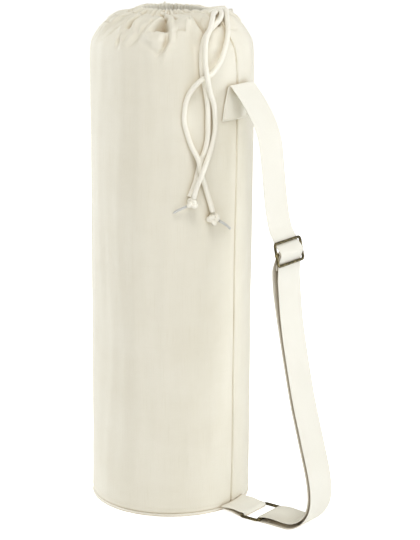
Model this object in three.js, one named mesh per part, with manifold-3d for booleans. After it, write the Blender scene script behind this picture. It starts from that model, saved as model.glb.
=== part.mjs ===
import * as THREE from 'three';
import Module from 'manifold-3d';

// Yoga mat bag, in millimetres. The origin is the centre of the round base, on the floor.
// +Z runs up the bag and +X points out through the side seam and the shoulder strap.

// Body size
const bodyRadius = 107.5;
const clothThickness = 1.6;
const shoulderHeight = 606;
const domeRise = 63.4;
const crownRadius = 66;
const crownShiftX = 5.6;
const crownShiftY = 4.3;
const crownRise = 0.8;
const mouthHalfWide = 34;
const mouthHalfDeep = 24;
const mouthTurn = 37.5;
const mouthShiftX = -4;
const mouthShiftY = -0.5;
const mouthLobeReach = 22;
const mouthLobeAngle = 12;
const mouthLobeWidth = 36;
const hemReach = 17.5;
const hemDepth = 14.4;
const hemGap = 0.9;
const gatherCount = 20;
const gatherDepth = 1.3;
const foldDepth = 8.5;
const dentDepth = 1.6;

// Base size
const pipingDiameter = 4.7;
const pipingProud = 0.5;
const baseClothThickness = 1.8;
const pieceGap = 0.3;

// Webbing size
const webbingWidth = 50;
const webbingThickness = 1.8;
const patchBottom = 533;
const patchTop = 573;
const patchShift = -6;
const patchGap = 0.8;
const foldOverRadius = 3.4;
const foldOverRise = 2.5;
const strapReach = 249.6;
const floorRunEndX = 212;

// Slider and base ring size
const sliderHeight = 33;
const sliderWire = 3.6;
const sliderBarWire = 3.2;
const sliderLean = 13.3;
const sliderCentreX = 190.9;
const sliderCentreZ = 369.3;
const ringReach = 31.5;
const ringWire = 4;
const ringInnerBarX = 142;
const hardwareSideGap = 1.8;
const hardwareCornerRadius = 4;
const barCollar = 0.8;
const tabTailGap = 0.5;
const tabRootGap = 1.2;
const tabLift = 0.05;
const tabRootClearance = 0.2;
const ringShiftY = -3;
const ringShiftHeight = 120;

// Drawcord size
const cordDiameter = 6.5;
const cordTipDiameter = 3.4;
const buttonholeRoom = 2;

// Grid counts
const bodyColumns = 64;
const hemColumns = gatherCount * 3;
const tunnelColumns = gatherCount * 2;
const cordSides = 7;
const cordSpan = 1.6;
const wireSides = 8;
const pipingColumns = 44;
const runStep = 28;

// Shoulder outline. reach is the share of the way in from the side to the crown ring,
// rise is the share of the way up from the shoulder to the crown ring.
const shoulderOutline = [
  { reach: 0.0, rise: 0.0 },
  { reach: 0.012, rise: 0.17 },
  { reach: 0.055, rise: 0.36 },
  { reach: 0.145, rise: 0.48 },
  { reach: 0.25, rise: 0.6 },
  { reach: 0.41, rise: 0.735 },
  { reach: 0.62, rise: 0.86 },
  { reach: 0.82, rise: 0.945 },
  { reach: 1.0, rise: 1.0 },
];

// Rows of the straight side, as shares of the shoulder height
const sideRows = [0.0, 0.02, 0.18, 0.36, 0.53, 0.7, 0.86];
const liningRows = [0.0, 0.36, 0.75];

// Rows of the nearly flat top, as shares of the way from the crown ring to the hem
const topRows = [0.5, 1.0];

// Folds of the shoulder. Angles are degrees about the bag. Reach runs from 0 at the side to 1 at
// the crown ring and 2 at the hem, width is the half width in degrees, depth is a share of the
// fold depth and inward is positive.
const shoulderFolds = [
  { name: 'front valley', topAngle: -66, lowAngle: -62.5, top: 1.6, low: 0.4, width: 5.5, depth: 1.1 },
  { name: 'front puff', topAngle: -65, lowAngle: -65, top: 0.42, low: 0.04, width: 8, depth: -0.5 },
  { name: 'puff crease', topAngle: -56.5, lowAngle: -58, top: 0.35, low: 0.03, width: 4, depth: 0.3 },
  { name: 'front roll', topAngle: -59, lowAngle: -53.5, top: 1.0, low: 0.1, width: 4, depth: -0.3 },
  { name: 'far left valley', topAngle: -133, lowAngle: -127, top: 1.4, low: 0.15, width: 5, depth: 0.5 },
  { name: 'left ridge', topAngle: -119, lowAngle: -122, top: 1.2, low: 0.1, width: 5, depth: -0.3 },
  { name: 'left crease', topAngle: -105, lowAngle: -116, top: 1.4, low: 0.12, width: 5, depth: 0.55 },
  { name: 'middle crease', topAngle: -98, lowAngle: -92, top: 1.5, low: 0.42, width: 4, depth: 0.45 },
  { name: 'short crease', topAngle: -95, lowAngle: -94.5, top: 0.4, low: 0.06, width: 4, depth: 0.2 },
  { name: 'dimple', topAngle: -55, lowAngle: -53, top: 1.6, low: 0.88, width: 4, depth: 0.4 },
  { name: 'right flap', topAngle: -45, lowAngle: -33, top: 1.3, low: 0.25, width: 7, depth: -0.4 },
  { name: 'right valley', topAngle: -33, lowAngle: -25, top: 1.4, low: 0.28, width: 5, depth: 0.85 },
  { name: 'right ridge', topAngle: -24, lowAngle: -16, top: 1.3, low: 0.55, width: 4, depth: -0.25 },
  { name: 'right crease', topAngle: -19, lowAngle: -12, top: 1.3, low: 0.6, width: 4, depth: 0.4 },
  { name: 'back valley', topAngle: 118, lowAngle: 112, top: 1.6, low: 0.35, width: 7, depth: 0.7 },
  { name: 'back crease', topAngle: 66, lowAngle: 60, top: 1.6, low: 0.3, width: 6, depth: 0.5 },
  { name: 'far crease', topAngle: 168, lowAngle: 174, top: 1.6, low: 0.3, width: 6, depth: 0.5 },
];

// Shallow dents of the straight side. height and tall are shares of the shoulder height.
const sideDents = [
  { angle: -130, wide: 26, height: 0.82, tall: 0.2, depth: 0.5 },
  { angle: -75, wide: 30, height: 0.55, tall: 0.3, depth: -0.35 },
  { angle: -105, wide: 22, height: 0.4, tall: 0.3, depth: 0.45 },
  { angle: -40, wide: 16, height: 0.7, tall: 0.22, depth: 0.5 },
  { angle: -28, wide: 14, height: 0.3, tall: 0.25, depth: 0.35 },
  { angle: 60, wide: 34, height: 0.5, tall: 0.3, depth: 0.6 },
  { angle: 130, wide: 30, height: 0.7, tall: 0.25, depth: 0.5 },
  { angle: 165, wide: 24, height: 0.3, tall: 0.2, depth: -0.4 },
];

// Section of the gathered hem. out runs from the mouth edge outward, up from the stitch line
// to the top, ripple is the share of the gather depth that the point takes.
const hemOutline = [
  { out: 0.03, up: 0.92, ripple: 1.0 },
  { out: 0.2, up: 1.0, ripple: 1.0 },
  { out: 0.46, up: 0.945, ripple: 0.9 },
  { out: 0.74, up: 0.785, ripple: 0.7 },
  { out: 1.0, up: 0.55, ripple: 0.0 },
  { out: 0.94, up: 0.32, ripple: 0.0 },
  { out: 0.69, up: 0.1, ripple: 0.0 },
  { out: 0.34, up: 0.0, ripple: 0.2 },
  { out: 0.09, up: 0.12, ripple: 0.6 },
  { out: 0.0, up: 0.52, ripple: 1.0 },
];
const tunnelOutline = [
  { out: 0.17, up: 0.79 },
  { out: 0.28, up: 0.85 },
  { out: 0.46, up: 0.8 },
  { out: 0.67, up: 0.67 },
  { out: 0.85, up: 0.52 },
  { out: 0.8, up: 0.42 },
  { out: 0.64, up: 0.25 },
  { out: 0.38, up: 0.14 },
  { out: 0.21, up: 0.22 },
  { out: 0.13, up: 0.52 },
];
const tunnelCentreOut = 0.47;
const tunnelCentreUp = 0.5;

// Buttonholes of the drawcord, in degrees about the mouth
const buttonholes = [
  { name: 'front', angle: 5 },
  { name: 'middle', angle: 16 },
  { name: 'back', angle: 28 },
];
const buttonholeTilt = 27;
const hiddenCordGap = 9;

// Free run of the single strap layer, from the sewn fold down to the slider. out is the share of
// the way from the bag's side out to the slider, up the share from the slider up to the fold.
const upperRun = [
  { out: 0.157, up: 0.9941 },
  { out: 0.263, up: 0.947 },
  { out: 0.373, up: 0.89 },
  { out: 0.481, up: 0.8223 },
  { out: 0.565, up: 0.7516 },
  { out: 0.627, up: 0.6662 },
  { out: 0.669, up: 0.5484 },
  { out: 0.705, up: 0.4207 },
  { out: 0.749, up: 0.2882 },
  { out: 0.793, up: 0.1949 },
  { out: 0.832, up: 0.1384 },
];

// Outer layer from the slider down to the floor, then in along the floor to the ring. out is the
// share of the way from the slider to the strap's furthest reach, up the share of the slider's height.
const outerRun = [
  { out: 0.009, up: 0.9044 },
  { out: 0.036, up: 0.8557 },
  { out: 0.073, up: 0.7961 },
  { out: 0.135, up: 0.7257 },
  { out: 0.233, up: 0.6418 },
  { out: 0.348, up: 0.5551 },
  { out: 0.47, up: 0.4685 },
  { out: 0.613, up: 0.3845 },
  { out: 0.756, up: 0.3033 },
  { out: 0.915, up: 0.2166 },
  { out: 0.98, up: 0.1679 },
  { out: 1, up: 0.13 },
  { out: 0.986, up: 0.1002 },
  { out: 0.928, up: 0.0718 },
  { out: 0.826, up: 0.046 },
  { out: 0.69, up: 0.0244 },
  { out: 0.53, up: 0.0097 },
];

// Inner layer from the ring back up to the slider, in the same shares
const innerRun = [
  { out: -0.22, up: 0.0249 },
  { out: -0.015, up: 0.0265 },
  { out: 0.223, up: 0.0238 },
  { out: 0.445, up: 0.0249 },
  { out: 0.622, up: 0.0357 },
  { out: 0.761, up: 0.0542 },
  { out: 0.86, up: 0.0785 },
  { out: 0.908, up: 0.1045 },
  { out: 0.922, up: 0.13 },
  { out: 0.901, up: 0.1652 },
  { out: 0.836, up: 0.2139 },
  { out: 0.68, up: 0.2995 },
  { out: 0.537, up: 0.3813 },
  { out: 0.394, up: 0.4657 },
  { out: 0.271, up: 0.5524 },
  { out: 0.155, up: 0.639 },
  { out: 0.046, up: 0.723 },
  { out: -0.043, up: 0.7934 },
  { out: -0.107, up: 0.8557 },
  { out: -0.141, up: 0.9044 },
  { out: -0.148, up: 0.9423 },
];

// Run of the ring tab from the base seam out to the ring. out is a share of that way, sink and
// rise move its lower and upper layer, bend wraps it round the bag.
const tabRun = [
  { out: 0, sink: 0, rise: 0, bend: 1, lift: 1 },
  { out: 0.24, sink: 0.6, rise: 0.2, bend: 0.75, lift: 0.7 },
  { out: 0.54, sink: 2.2, rise: 0.6, bend: 0.4, lift: 0.3 },
];
const tabRingRun = { out: 0.79, sink: 0.5, rise: 0.4 };

// Tail of the strap below the slider's middle bar. down is a share of the bar spacing, behind is
// how far it lies behind the bar.
const sliderTail = [
  { down: 0.55, behind: 1.6 },
  { down: 0.9, behind: 5.6 },
  { down: 1.35, behind: 7.2 },
];

// Routes of the free cord strands, from the hem down to the knots
const frontStrandRoute = [
  [69.5, 0.5, 668], [75.5, -12, 665.5], [85, -27, 660.6], [94, -44, 652], [98.8, -58, 641],
  [100.5, -62.5, 624.5], [103.5, -65, 608], [107.5, -66, 591.5],
  [105, -57, 573.5], [104.5, -48.5, 557], [103, -44, 537], [102.5, -43.5, 522.5],
  [101.5, -47, 507.5], [101.5, -55, 491], [105.5, -68, 480.5], [105.5, -75.5, 469.5],
  [98, -75.5, 453.5], [93.1, -74.7, 439.2],
];
const middleStrandRoute = [
  [70.5, 11.5, 667], [78.5, 1.4, 663.8], [85, -13, 659], [87.2, -31, 651.5], [88.8, -47.5, 642],
  [92.2, -58, 627.5], [94, -60, 598.5], [96, -56.5, 580], [97.5, -54, 563.5],
  [98, -52.5, 549.5], [98, -52.5, 531.5], [98, -52.5, 517], [96.5, -56, 499], [93, -61, 484],
  [89.5, -66.5, 458.5], [85.5, -73.2, 439.6],
];
const backStrandRoute = [
  [68.5, 24.5, 667.6], [77.5, 14.5, 663.2], [87, 2.5, 656.8], [96, -8, 648.6], [102.5, -18, 639.5],
  [107, -29, 627.5], [108.5, -40, 613], [106.5, -52, 600], [103, -59, 594.5],
  [98.5, -65.5, 591.5], [88, -73.5, 578], [81.5, -76, 563.5], [79.5, -78, 539], [82, -75, 522],
  [87, -72, 505], [96, -69.5, 488.5], [98, -67, 472.5], [98.5, -60.5, 458.5],
  [99, -53.5, 441.5], [102, -49.5, 426], [103.8, -48.2, 417.6],
];
const rightTailRoute = [[108.6, -40.3, 405.3], [110.5, -29, 398.5], [110.4, -19, 391.5]];
const leftTailRoute = [[84.5, -79, 427.5], [78, -83, 424], [71.2, -86.6, 419.5]];

// Knots, each with its centre, half sizes and turn about the vertical
const rightKnot = { x: 104.4, y: -47.6, z: 408.6, halfWide: 8.8, halfHigh: 8.4, halfDeep: 7, turn: -24 };
const leftKnot = { x: 90.2, y: -74.4, z: 431.6, halfWide: 8, halfHigh: 7.4, halfDeep: 7, turn: -40 };
const knotLobes = 3;
const knotLobeDepth = 0.09;
const knotRows = 8;
const knotColumns = 10;

// Colours
const canvas = new THREE.MeshStandardMaterial({ name: 'canvas', color: '#e9e4d2', roughness: 0.92, metalness: 0 });
const webbing = new THREE.MeshStandardMaterial({ name: 'webbing', color: '#f2f0e0', roughness: 0.88, metalness: 0 });
const cordCotton = new THREE.MeshStandardMaterial({
  name: 'cord_cotton', color: '#f0ecdc', roughness: 0.9, metalness: 0,
});
const tipBinding = new THREE.MeshStandardMaterial({
  name: 'tip_binding', color: '#c9c4b6', roughness: 0.7, metalness: 0,
});
const agedBrass = new THREE.MeshStandardMaterial({
  name: 'aged_brass', color: '#6b5d3a', roughness: 0.4, metalness: 1,
});

const radians = Math.PI / 180;

function blend(from, to, share) {
  return from + (to - from) * share;
}

function smoothShare(value) {
  const share = Math.min(1, Math.max(0, value));
  return share * share * (3 - 2 * share);
}

function bell(distance) {
  return Math.exp(-2 * distance * distance);
}

function angleBetween(first, second) {
  return ((first - second + 540) % 360) - 180;
}

// A solid from a list of closed sections. When looped, the last section joins the first,
// otherwise each end is closed with a strip from one side of the section to the other.
function sectionSolid(sections, looped) {
  const count = sections[0].length;
  const positions = sections.flat();
  const faces = [];
  const spans = looped ? sections.length : sections.length - 1;
  for (let row = 0; row < spans; row += 1) {
    const next = (row + 1) % sections.length;
    for (let column = 0; column < count; column += 1) {
      const side = (column + 1) % count;
      const a = row * count + column;
      const b = row * count + side;
      const c = next * count + side;
      const d = next * count + column;
      faces.push([a, b, c], [a, c, d]);
    }
  }
  if (!looped) {
    const lastStart = (sections.length - 1) * count;
    for (let column = 0; column < count / 2 - 1; column += 1) {
      const corners = [column, column + 1, count - 2 - column, count - 1 - column];
      const [a, b, c, d] = corners;
      faces.push([a, c, b], [a, d, c]);
      const [e, f, g, h] = corners.map((corner) => corner + lastStart);
      faces.push([e, f, g], [e, g, h]);
    }
  }
  return orientedGeometry(positions, faces);
}

function orientedGeometry(positions, faces) {
  let volume = 0;
  for (const [a, b, c] of faces) {
    const p = positions[a];
    const q = positions[b];
    const r = positions[c];
    volume += p[0] * (q[1] * r[2] - q[2] * r[1]);
    volume += p[1] * (q[2] * r[0] - q[0] * r[2]);
    volume += p[2] * (q[0] * r[1] - q[1] * r[0]);
  }
  const ordered = volume < 0 ? faces.map(([a, b, c]) => [a, c, b]) : faces;
  const geometry = new THREE.BufferGeometry();
  geometry.setAttribute('position', new THREE.Float32BufferAttribute(positions.flat(), 3));
  geometry.setIndex(ordered.flat());
  return geometry;
}

const wasm = await Module();
wasm.setup();

function toManifold(geometry) {
  return new wasm.Manifold(new wasm.Mesh({
    numProp: 3,
    vertProperties: new Float32Array(geometry.attributes.position.array),
    triVerts: new Uint32Array(geometry.index.array),
  }));
}

function fromManifold(solid) {
  const mesh = solid.getMesh();
  const geometry = new THREE.BufferGeometry();
  geometry.setAttribute('position', new THREE.BufferAttribute(mesh.vertProperties, 3));
  geometry.setIndex(new THREE.BufferAttribute(mesh.triVerts, 1));
  return geometry;
}

// Body cloth
const hemBottom = shoulderHeight + domeRise - hemDepth;
const hemSeat = 0.55;
const crownHeight = hemBottom + hemDepth * hemSeat;
const bodyBottom = pipingDiameter + pieceGap;

// The drawn mouth is an oval that runs out in a lobe where the cords leave it. This is its radius
// at an angle about its own centre.
function mouthRadius(angle) {
  const turn = (angle - mouthTurn) * radians;
  const oval = 1 / Math.hypot(Math.cos(turn) / mouthHalfWide, Math.sin(turn) / mouthHalfDeep);
  return oval + mouthLobeReach * bell(angleBetween(angle, mouthLobeAngle) / mouthLobeWidth);
}

function shoulderPoint(row) {
  return {
    radius: blend(bodyRadius, crownRadius, row.reach),
    height: blend(shoulderHeight, crownHeight, row.rise),
    reach: row.reach,
  };
}

const shoulderRows = shoulderOutline.map(shoulderPoint);
shoulderRows.forEach((row, index) => {
  const before = shoulderRows[Math.max(0, index - 1)];
  const after = shoulderRows[Math.min(shoulderRows.length - 1, index + 1)];
  const run = after.radius - before.radius;
  const climb = after.height - before.height;
  const span = Math.hypot(run, climb);
  row.outward = climb / span;
  row.upward = -run / span;
});

function topRow(share) {
  return {
    radius: crownRadius,
    height: crownHeight + crownRise * Math.sin(share * Math.PI),
    reach: 1 + share,
    outward: 0,
    upward: 1,
  };
}

function foldOffset(angle, reach) {
  let inward = 0;
  for (const fold of shoulderFolds) {
    const middle = (fold.top + fold.low) / 2;
    const half = (fold.top - fold.low) / 2;
    const along = (reach - fold.low) / (fold.top - fold.low);
    const centre = blend(fold.lowAngle, fold.topAngle, Math.min(1, Math.max(0, along)));
    const fade = 1 - smoothShare((Math.abs(reach - middle) - half * 0.6) / (half * 0.7));
    inward += foldDepth * fold.depth * fade * bell(angleBetween(angle, centre) / fold.width);
  }
  return inward * (1 - 0.8 * smoothShare(reach - 1));
}

function dentOffset(angle, height) {
  let inward = 0;
  for (const dent of sideDents) {
    const across = angleBetween(angle, dent.angle) / dent.wide;
    const along = (height / shoulderHeight - dent.height) / dent.tall;
    inward += dentDepth * dent.depth * bell(across) * bell(along);
  }
  return inward;
}

function gatherWave(angle) {
  return Math.cos(angle * gatherCount * radians);
}

function bodySection(row, inset) {
  const section = [];
  for (let column = 0; column < bodyColumns; column += 1) {
    const angle = (column * 360) / bodyColumns;
    const lean = Math.min(1, row.reach) ** 2;
    const gather = gatherDepth * 0.5 * lean * gatherWave(angle);
    const depth = inset - gather + foldOffset(angle, row.reach) + dentOffset(angle, row.height);
    const radius = row.radius - depth * row.outward;
    const hemEdge = mouthRadius(angle) + hemReach + hemGap + clothThickness / 2;
    const inward = Math.max(0, row.reach - 1);
    const across = Math.cos(angle * radians);
    const deep = Math.sin(angle * radians);
    section.push([
      blend(crownShiftX * lean + radius * across, mouthShiftX + hemEdge * across, inward),
      blend(crownShiftY * lean + radius * deep, mouthShiftY + hemEdge * deep, inward),
      row.height - depth * row.upward,
    ]);
  }
  return section;
}

function sideRow(share) {
  return {
    radius: bodyRadius,
    height: blend(bodyBottom, shoulderHeight, share),
    reach: 0,
    outward: 1,
    upward: 0,
  };
}

const liningShoulderRows = shoulderRows.filter((row, index) => index % 2 === 0);
const bodySections = [
  ...sideRows.map((share) => bodySection(sideRow(share), 0)),
  ...shoulderRows.map((row) => bodySection(row, 0)),
  ...topRows.map((share) => bodySection(topRow(share), 0)),
  ...[...topRows].reverse().map((share) => bodySection(topRow(share), clothThickness)),
  ...liningShoulderRows.reverse().map((row) => bodySection(row, clothThickness)),
  ...[...liningRows].reverse().map((share) => bodySection(sideRow(share), clothThickness)),
];
const bodyGeometry = sectionSolid(bodySections, true);

// Gathered hem round the mouth, with the cord tunnel and its buttonholes
function hemSection(outline, angle, rippleDepth) {
  return outline.map((point) => {
    const ripple = rippleDepth * (point.ripple ?? 0) * (0.5 + 0.5 * gatherWave(angle));
    const outward = point.out - tunnelCentreOut;
    const upward = point.up - tunnelCentreUp;
    const span = Math.hypot(outward, upward);
    const radius = mouthRadius(angle) + point.out * hemReach + (ripple * outward) / span;
    return [
      mouthShiftX + radius * Math.cos(angle * radians),
      mouthShiftY + radius * Math.sin(angle * radians),
      hemBottom + point.up * hemDepth + (ripple * upward) / span,
    ];
  });
}

function hemRing(outline, columns, rippleDepth) {
  const sections = [];
  for (let column = 0; column < columns; column += 1) {
    sections.push(hemSection(outline, (column * 360) / columns, rippleDepth));
  }
  return sectionSolid(sections, true);
}

const tunnelHeight = hemBottom + tunnelCentreUp * hemDepth;

function tunnelRadius(angle) {
  return mouthRadius(angle) + tunnelCentreOut * hemReach;
}

function aboutMouth(angle, radius, height) {
  return [
    mouthShiftX + radius * Math.cos(angle * radians),
    mouthShiftY + radius * Math.sin(angle * radians),
    height,
  ];
}

function buttonholePoint(angle, distance) {
  const reach = tunnelRadius(angle) + distance * Math.cos(buttonholeTilt * radians);
  return aboutMouth(angle, reach, tunnelHeight + distance * Math.sin(buttonholeTilt * radians));
}

function buttonholeCutter(angle) {
  const start = new THREE.Vector3(...buttonholePoint(angle, 0));
  const end = new THREE.Vector3(...buttonholePoint(angle, hemReach));
  const cutter = new THREE.CylinderGeometry(
    (cordDiameter + buttonholeRoom) / 2,
    (cordDiameter + buttonholeRoom) / 2,
    start.distanceTo(end),
    12,
  );
  const direction = end.clone().sub(start).normalize();
  cutter.applyQuaternion(new THREE.Quaternion().setFromUnitVectors(new THREE.Vector3(0, 1, 0), direction));
  cutter.translate(...start.clone().add(end).multiplyScalar(0.5).toArray());
  return toManifold(weldedGeometry(cutter));
}

function weldedGeometry(geometry) {
  const keys = new Map();
  const positions = [];
  const lookup = [];
  const source = geometry.attributes.position;
  for (let index = 0; index < source.count; index += 1) {
    const point = [source.getX(index), source.getY(index), source.getZ(index)];
    const key = point.map((value) => value.toFixed(4)).join(' ');
    if (!keys.has(key)) {
      keys.set(key, positions.length);
      positions.push(point);
    }
    lookup.push(keys.get(key));
  }
  const order = geometry.index ? [...geometry.index.array] : [...lookup.keys()];
  const faces = [];
  for (let index = 0; index < order.length; index += 3) {
    const face = [lookup[order[index]], lookup[order[index + 1]], lookup[order[index + 2]]];
    if (new Set(face).size === 3) {
      faces.push(face);
    }
  }
  return orientedGeometry(positions, faces);
}

let hemSolid = toManifold(hemRing(hemOutline, hemColumns, gatherDepth));
hemSolid = hemSolid.subtract(toManifold(hemRing(tunnelOutline, tunnelColumns, 0)));
for (const hole of buttonholes) {
  hemSolid = hemSolid.subtract(buttonholeCutter(hole.angle));
}
const hemGeometry = fromManifold(hemSolid);

// Cords
function cordShape(diameter) {
  const shape = new THREE.Shape();
  for (let side = 0; side < cordSides; side += 1) {
    const turn = (side * 2 * Math.PI) / cordSides;
    const point = [(Math.cos(turn) * diameter) / 2, (Math.sin(turn) * diameter) / 2];
    if (side === 0) {
      shape.moveTo(...point);
    } else {
      shape.lineTo(...point);
    }
  }
  shape.closePath();
  return shape;
}

function cordTube(route, diameter) {
  const curve = new THREE.CatmullRomCurve3(route.map((point) => new THREE.Vector3(...point)), false, 'centripetal');
  const steps = Math.max(3, Math.round(curve.getLength() / (diameter * cordSpan)));
  const settings = { steps, extrudePath: curve, bevelEnabled: false };
  return weldedGeometry(new THREE.ExtrudeGeometry(cordShape(diameter), settings));
}

// The part of the drawcord inside the hem runs from the front buttonhole the long way round
function hiddenCordRoute() {
  const from = buttonholes[buttonholes.length - 1].angle + hiddenCordGap;
  const to = buttonholes[0].angle - hiddenCordGap + 360;
  const route = [];
  const steps = 24;
  for (let step = 0; step <= steps; step += 1) {
    const angle = blend(from, to, step / steps);
    route.push(aboutMouth(angle, tunnelRadius(angle), tunnelHeight));
  }
  return route;
}

function strandRoute(buttonhole, freeRoute) {
  return [buttonholePoint(buttonhole.angle, 1), buttonholePoint(buttonhole.angle, hemReach * 0.5), ...freeRoute];
}

function knotGeometry(knot) {
  const sections = [];
  for (let row = 0; row <= knotRows; row += 1) {
    const tilt = (blend(4, 176, row / knotRows) - 90) * radians;
    const section = [];
    for (let column = 0; column < knotColumns; column += 1) {
      const turn = (column * 360) / knotColumns;
      const lobe = 1 + knotLobeDepth * Math.sin(knotLobes * turn * radians + 5 * tilt);
      const wide = knot.halfWide * Math.cos(tilt) * Math.cos(turn * radians) * lobe;
      const deep = knot.halfDeep * Math.cos(tilt) * Math.sin(turn * radians) * lobe;
      const facing = (knot.turn + 90) * radians;
      section.push([
        knot.x + wide * Math.cos(facing) - deep * Math.sin(facing),
        knot.y + wide * Math.sin(facing) + deep * Math.cos(facing),
        knot.z + knot.halfHigh * Math.sin(tilt),
      ]);
    }
    sections.push(section);
  }
  return sectionSolid(sections, false);
}

// Base
const pipingRadius = pipingDiameter / 2;
const pipingRing = bodyRadius - pipingRadius + pipingProud;
const pipingGeometry = weldedGeometry(
  new THREE.TorusGeometry(pipingRing, pipingRadius, wireSides, pipingColumns).translate(0, 0, pipingRadius),
);
const baseRadius = pipingRing - pipingRadius - pieceGap;
const baseGeometry = weldedGeometry(
  new THREE.CylinderGeometry(baseRadius, baseRadius, baseClothThickness, 48)
    .rotateX(Math.PI / 2)
    .translate(0, 0, baseClothThickness / 2),
);

// Webbing ribbons. A station has a centre (x, z), a bend share that wraps it round the bag,
// a sideways shift and a lift per millimetre of width.
const acrossShares = [-0.5, -0.25, 0, 0.25, 0.5];

function ribbonSections(stations, width, thickness) {
  return stations.map((station, index) => {
    const before = stations[Math.max(0, index - 1)];
    const after = stations[Math.min(stations.length - 1, index + 1)];
    const length = Math.hypot(after.x - before.x, after.z - before.z);
    const normal = [-(after.z - before.z) / length, (after.x - before.x) / length];
    const bend = (station.bend ?? 0) / (bodyRadius + patchGap);
    const face = (side) => acrossShares.map((share) => {
      const along = share * width + (station.shift ?? 0);
      const drop = bend > 0 ? (1 - Math.cos(along * bend)) / bend : 0;
      const sideways = bend > 0 ? Math.sin(along * bend) / bend : along;
      const offset = side * thickness * 0.5;
      return [
        station.x - drop + normal[0] * offset * (bend > 0 ? Math.cos(along * bend) : 1),
        sideways,
        station.z + normal[1] * offset + (station.lift ?? 0) * along,
      ];
    });
    return [...face(1), ...face(-1).reverse()];
  });
}

function arcStations(centreX, centreZ, radius, fromAngle, toAngle, steps) {
  const stations = [];
  for (let step = 0; step <= steps; step += 1) {
    const angle = blend(fromAngle, toAngle, step / steps) * radians;
    stations.push({ x: centreX + radius * Math.cos(angle), z: centreZ + radius * Math.sin(angle) });
  }
  return stations;
}

// Points of a run smoothed through its rows
function smoothRun(rows, stepLength) {
  const curve = new THREE.CatmullRomCurve3(rows.map((row) => new THREE.Vector3(row.x, 0, row.z)), false, 'centripetal');
  const steps = Math.round(curve.getLength() / stepLength);
  return curve.getSpacedPoints(steps).map((point) => ({ x: point.x, z: point.z }));
}

// Slider frame of reference: up runs along the slider, out is away from the bag
const leanSine = Math.sin(sliderLean * radians);
const leanCosine = Math.cos(sliderLean * radians);

function sliderPoint(up, out) {
  return {
    x: sliderCentreX - up * leanSine + out * leanCosine,
    z: sliderCentreZ + up * leanCosine + out * leanSine,
  };
}

function sliderArc(centreUp, radius, fromAngle, toAngle, steps) {
  return arcStations(0, 0, radius, fromAngle, toAngle, steps).map((point) => sliderPoint(centreUp + point.z, point.x));
}

const sliderBarSpan = (sliderHeight - sliderWire) / 2;
const webbingOffset = pieceGap + webbingThickness / 2;
const behindBar = sliderWire / 2 + webbingOffset;
const roundBar = sliderBarWire / 2 + webbingOffset;
const overLoop = roundBar + webbingThickness + pieceGap;
const crossAngle = Math.asin((behindBar + overLoop) / sliderBarSpan) / radians;

const ringBarLift = webbingThickness + pieceGap + ringWire / 2;
const ringOuterBarX = ringInnerBarX + ringReach - ringWire;
const roundRing = ringWire / 2 + webbingOffset;
const patchX = bodyRadius + patchGap + webbingThickness / 2;

const patchStations = [0, 0.25, 0.5, 0.75, 1].map((share) => ({
  x: patchX,
  z: blend(patchBottom, patchTop, share),
  bend: 1 - smoothShare((share - 0.4) / 0.7) * 0.85,
  shift: patchShift * (1 - share),
}));
const foldOver = arcStations(patchX + foldOverRadius, patchTop + foldOverRise, foldOverRadius, 180, 42, 6);

function upperStation(row) {
  return { x: blend(bodyRadius, sliderCentreX, row.out), z: blend(sliderCentreZ, patchTop, row.up) };
}

function lowerStation(row) {
  return { x: blend(sliderCentreX, strapReach, row.out), z: sliderCentreZ * row.up };
}

// The strap meets the ring a little off the middle of the bag
function nearRing(stations) {
  return stations.map((station) => ({
    ...station,
    shift: ringShiftY * (1 - smoothShare(station.z / ringShiftHeight)),
  }));
}

const strapStations = [
  ...patchStations,
  ...foldOver,
  ...smoothRun(upperRun.map(upperStation), runStep),
  ...sliderArc(sliderBarSpan, behindBar, 158, 180 + crossAngle, 5),
  ...sliderArc(0, overLoop, crossAngle, -crossAngle, 6),
  ...sliderArc(-sliderBarSpan, behindBar, 180 - crossAngle, 190, 4),
  ...nearRing(smoothRun(outerRun.map(lowerStation), runStep)),
  ...nearRing([
    { x: floorRunEndX, z: webbingThickness / 2 },
    { x: blend(floorRunEndX, ringOuterBarX, 0.5), z: webbingThickness / 2 },
    ...arcStations(ringOuterBarX, ringBarLift, roundRing, 270, 90, 8),
  ]),
  ...nearRing(smoothRun(innerRun.map(lowerStation), runStep)),
  ...sliderArc(0, roundBar, 196, -52, 10),
  ...sliderTail.map((row) => sliderPoint(-sliderBarSpan * row.down, -row.behind)),
];
const strapGeometry = sectionSolid(ribbonSections(strapStations, webbingWidth, webbingThickness), false);

// Folded tab that holds the base ring
const tabRootX = bodyRadius + tabRootGap;
const tabReach = ringInnerBarX - tabRootX;
const tabLowZ = bodyBottom + webbingThickness / 2 + tabRootClearance;
const tabHighZ = tabLowZ + webbingThickness + tabTailGap;

function tabStation(row, z) {
  return { x: tabRootX + tabReach * row.out, z, bend: row.bend ?? 0, lift: tabLift * (row.lift ?? 0) };
}

const tabStations = [
  ...tabRun.map((row) => tabStation(row, tabLowZ - row.sink)),
  tabStation(tabRingRun, webbingThickness / 2 + tabRingRun.sink),
  ...arcStations(ringInnerBarX, ringBarLift, roundRing, 270, 450, 8),
  tabStation(tabRingRun, ringBarLift + roundRing + tabRingRun.rise),
  ...[...tabRun].reverse().map((row) => tabStation(row, tabHighZ + row.rise)),
];
const tabGeometry = sectionSolid(ribbonSections(tabStations, webbingWidth, webbingThickness), false)
  .translate(0, ringShiftY, 0);

// Wire hardware bent to a rounded rectangle, in its own flat frame
const hardwareInnerWidth = webbingWidth + 2 * hardwareSideGap;

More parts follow.
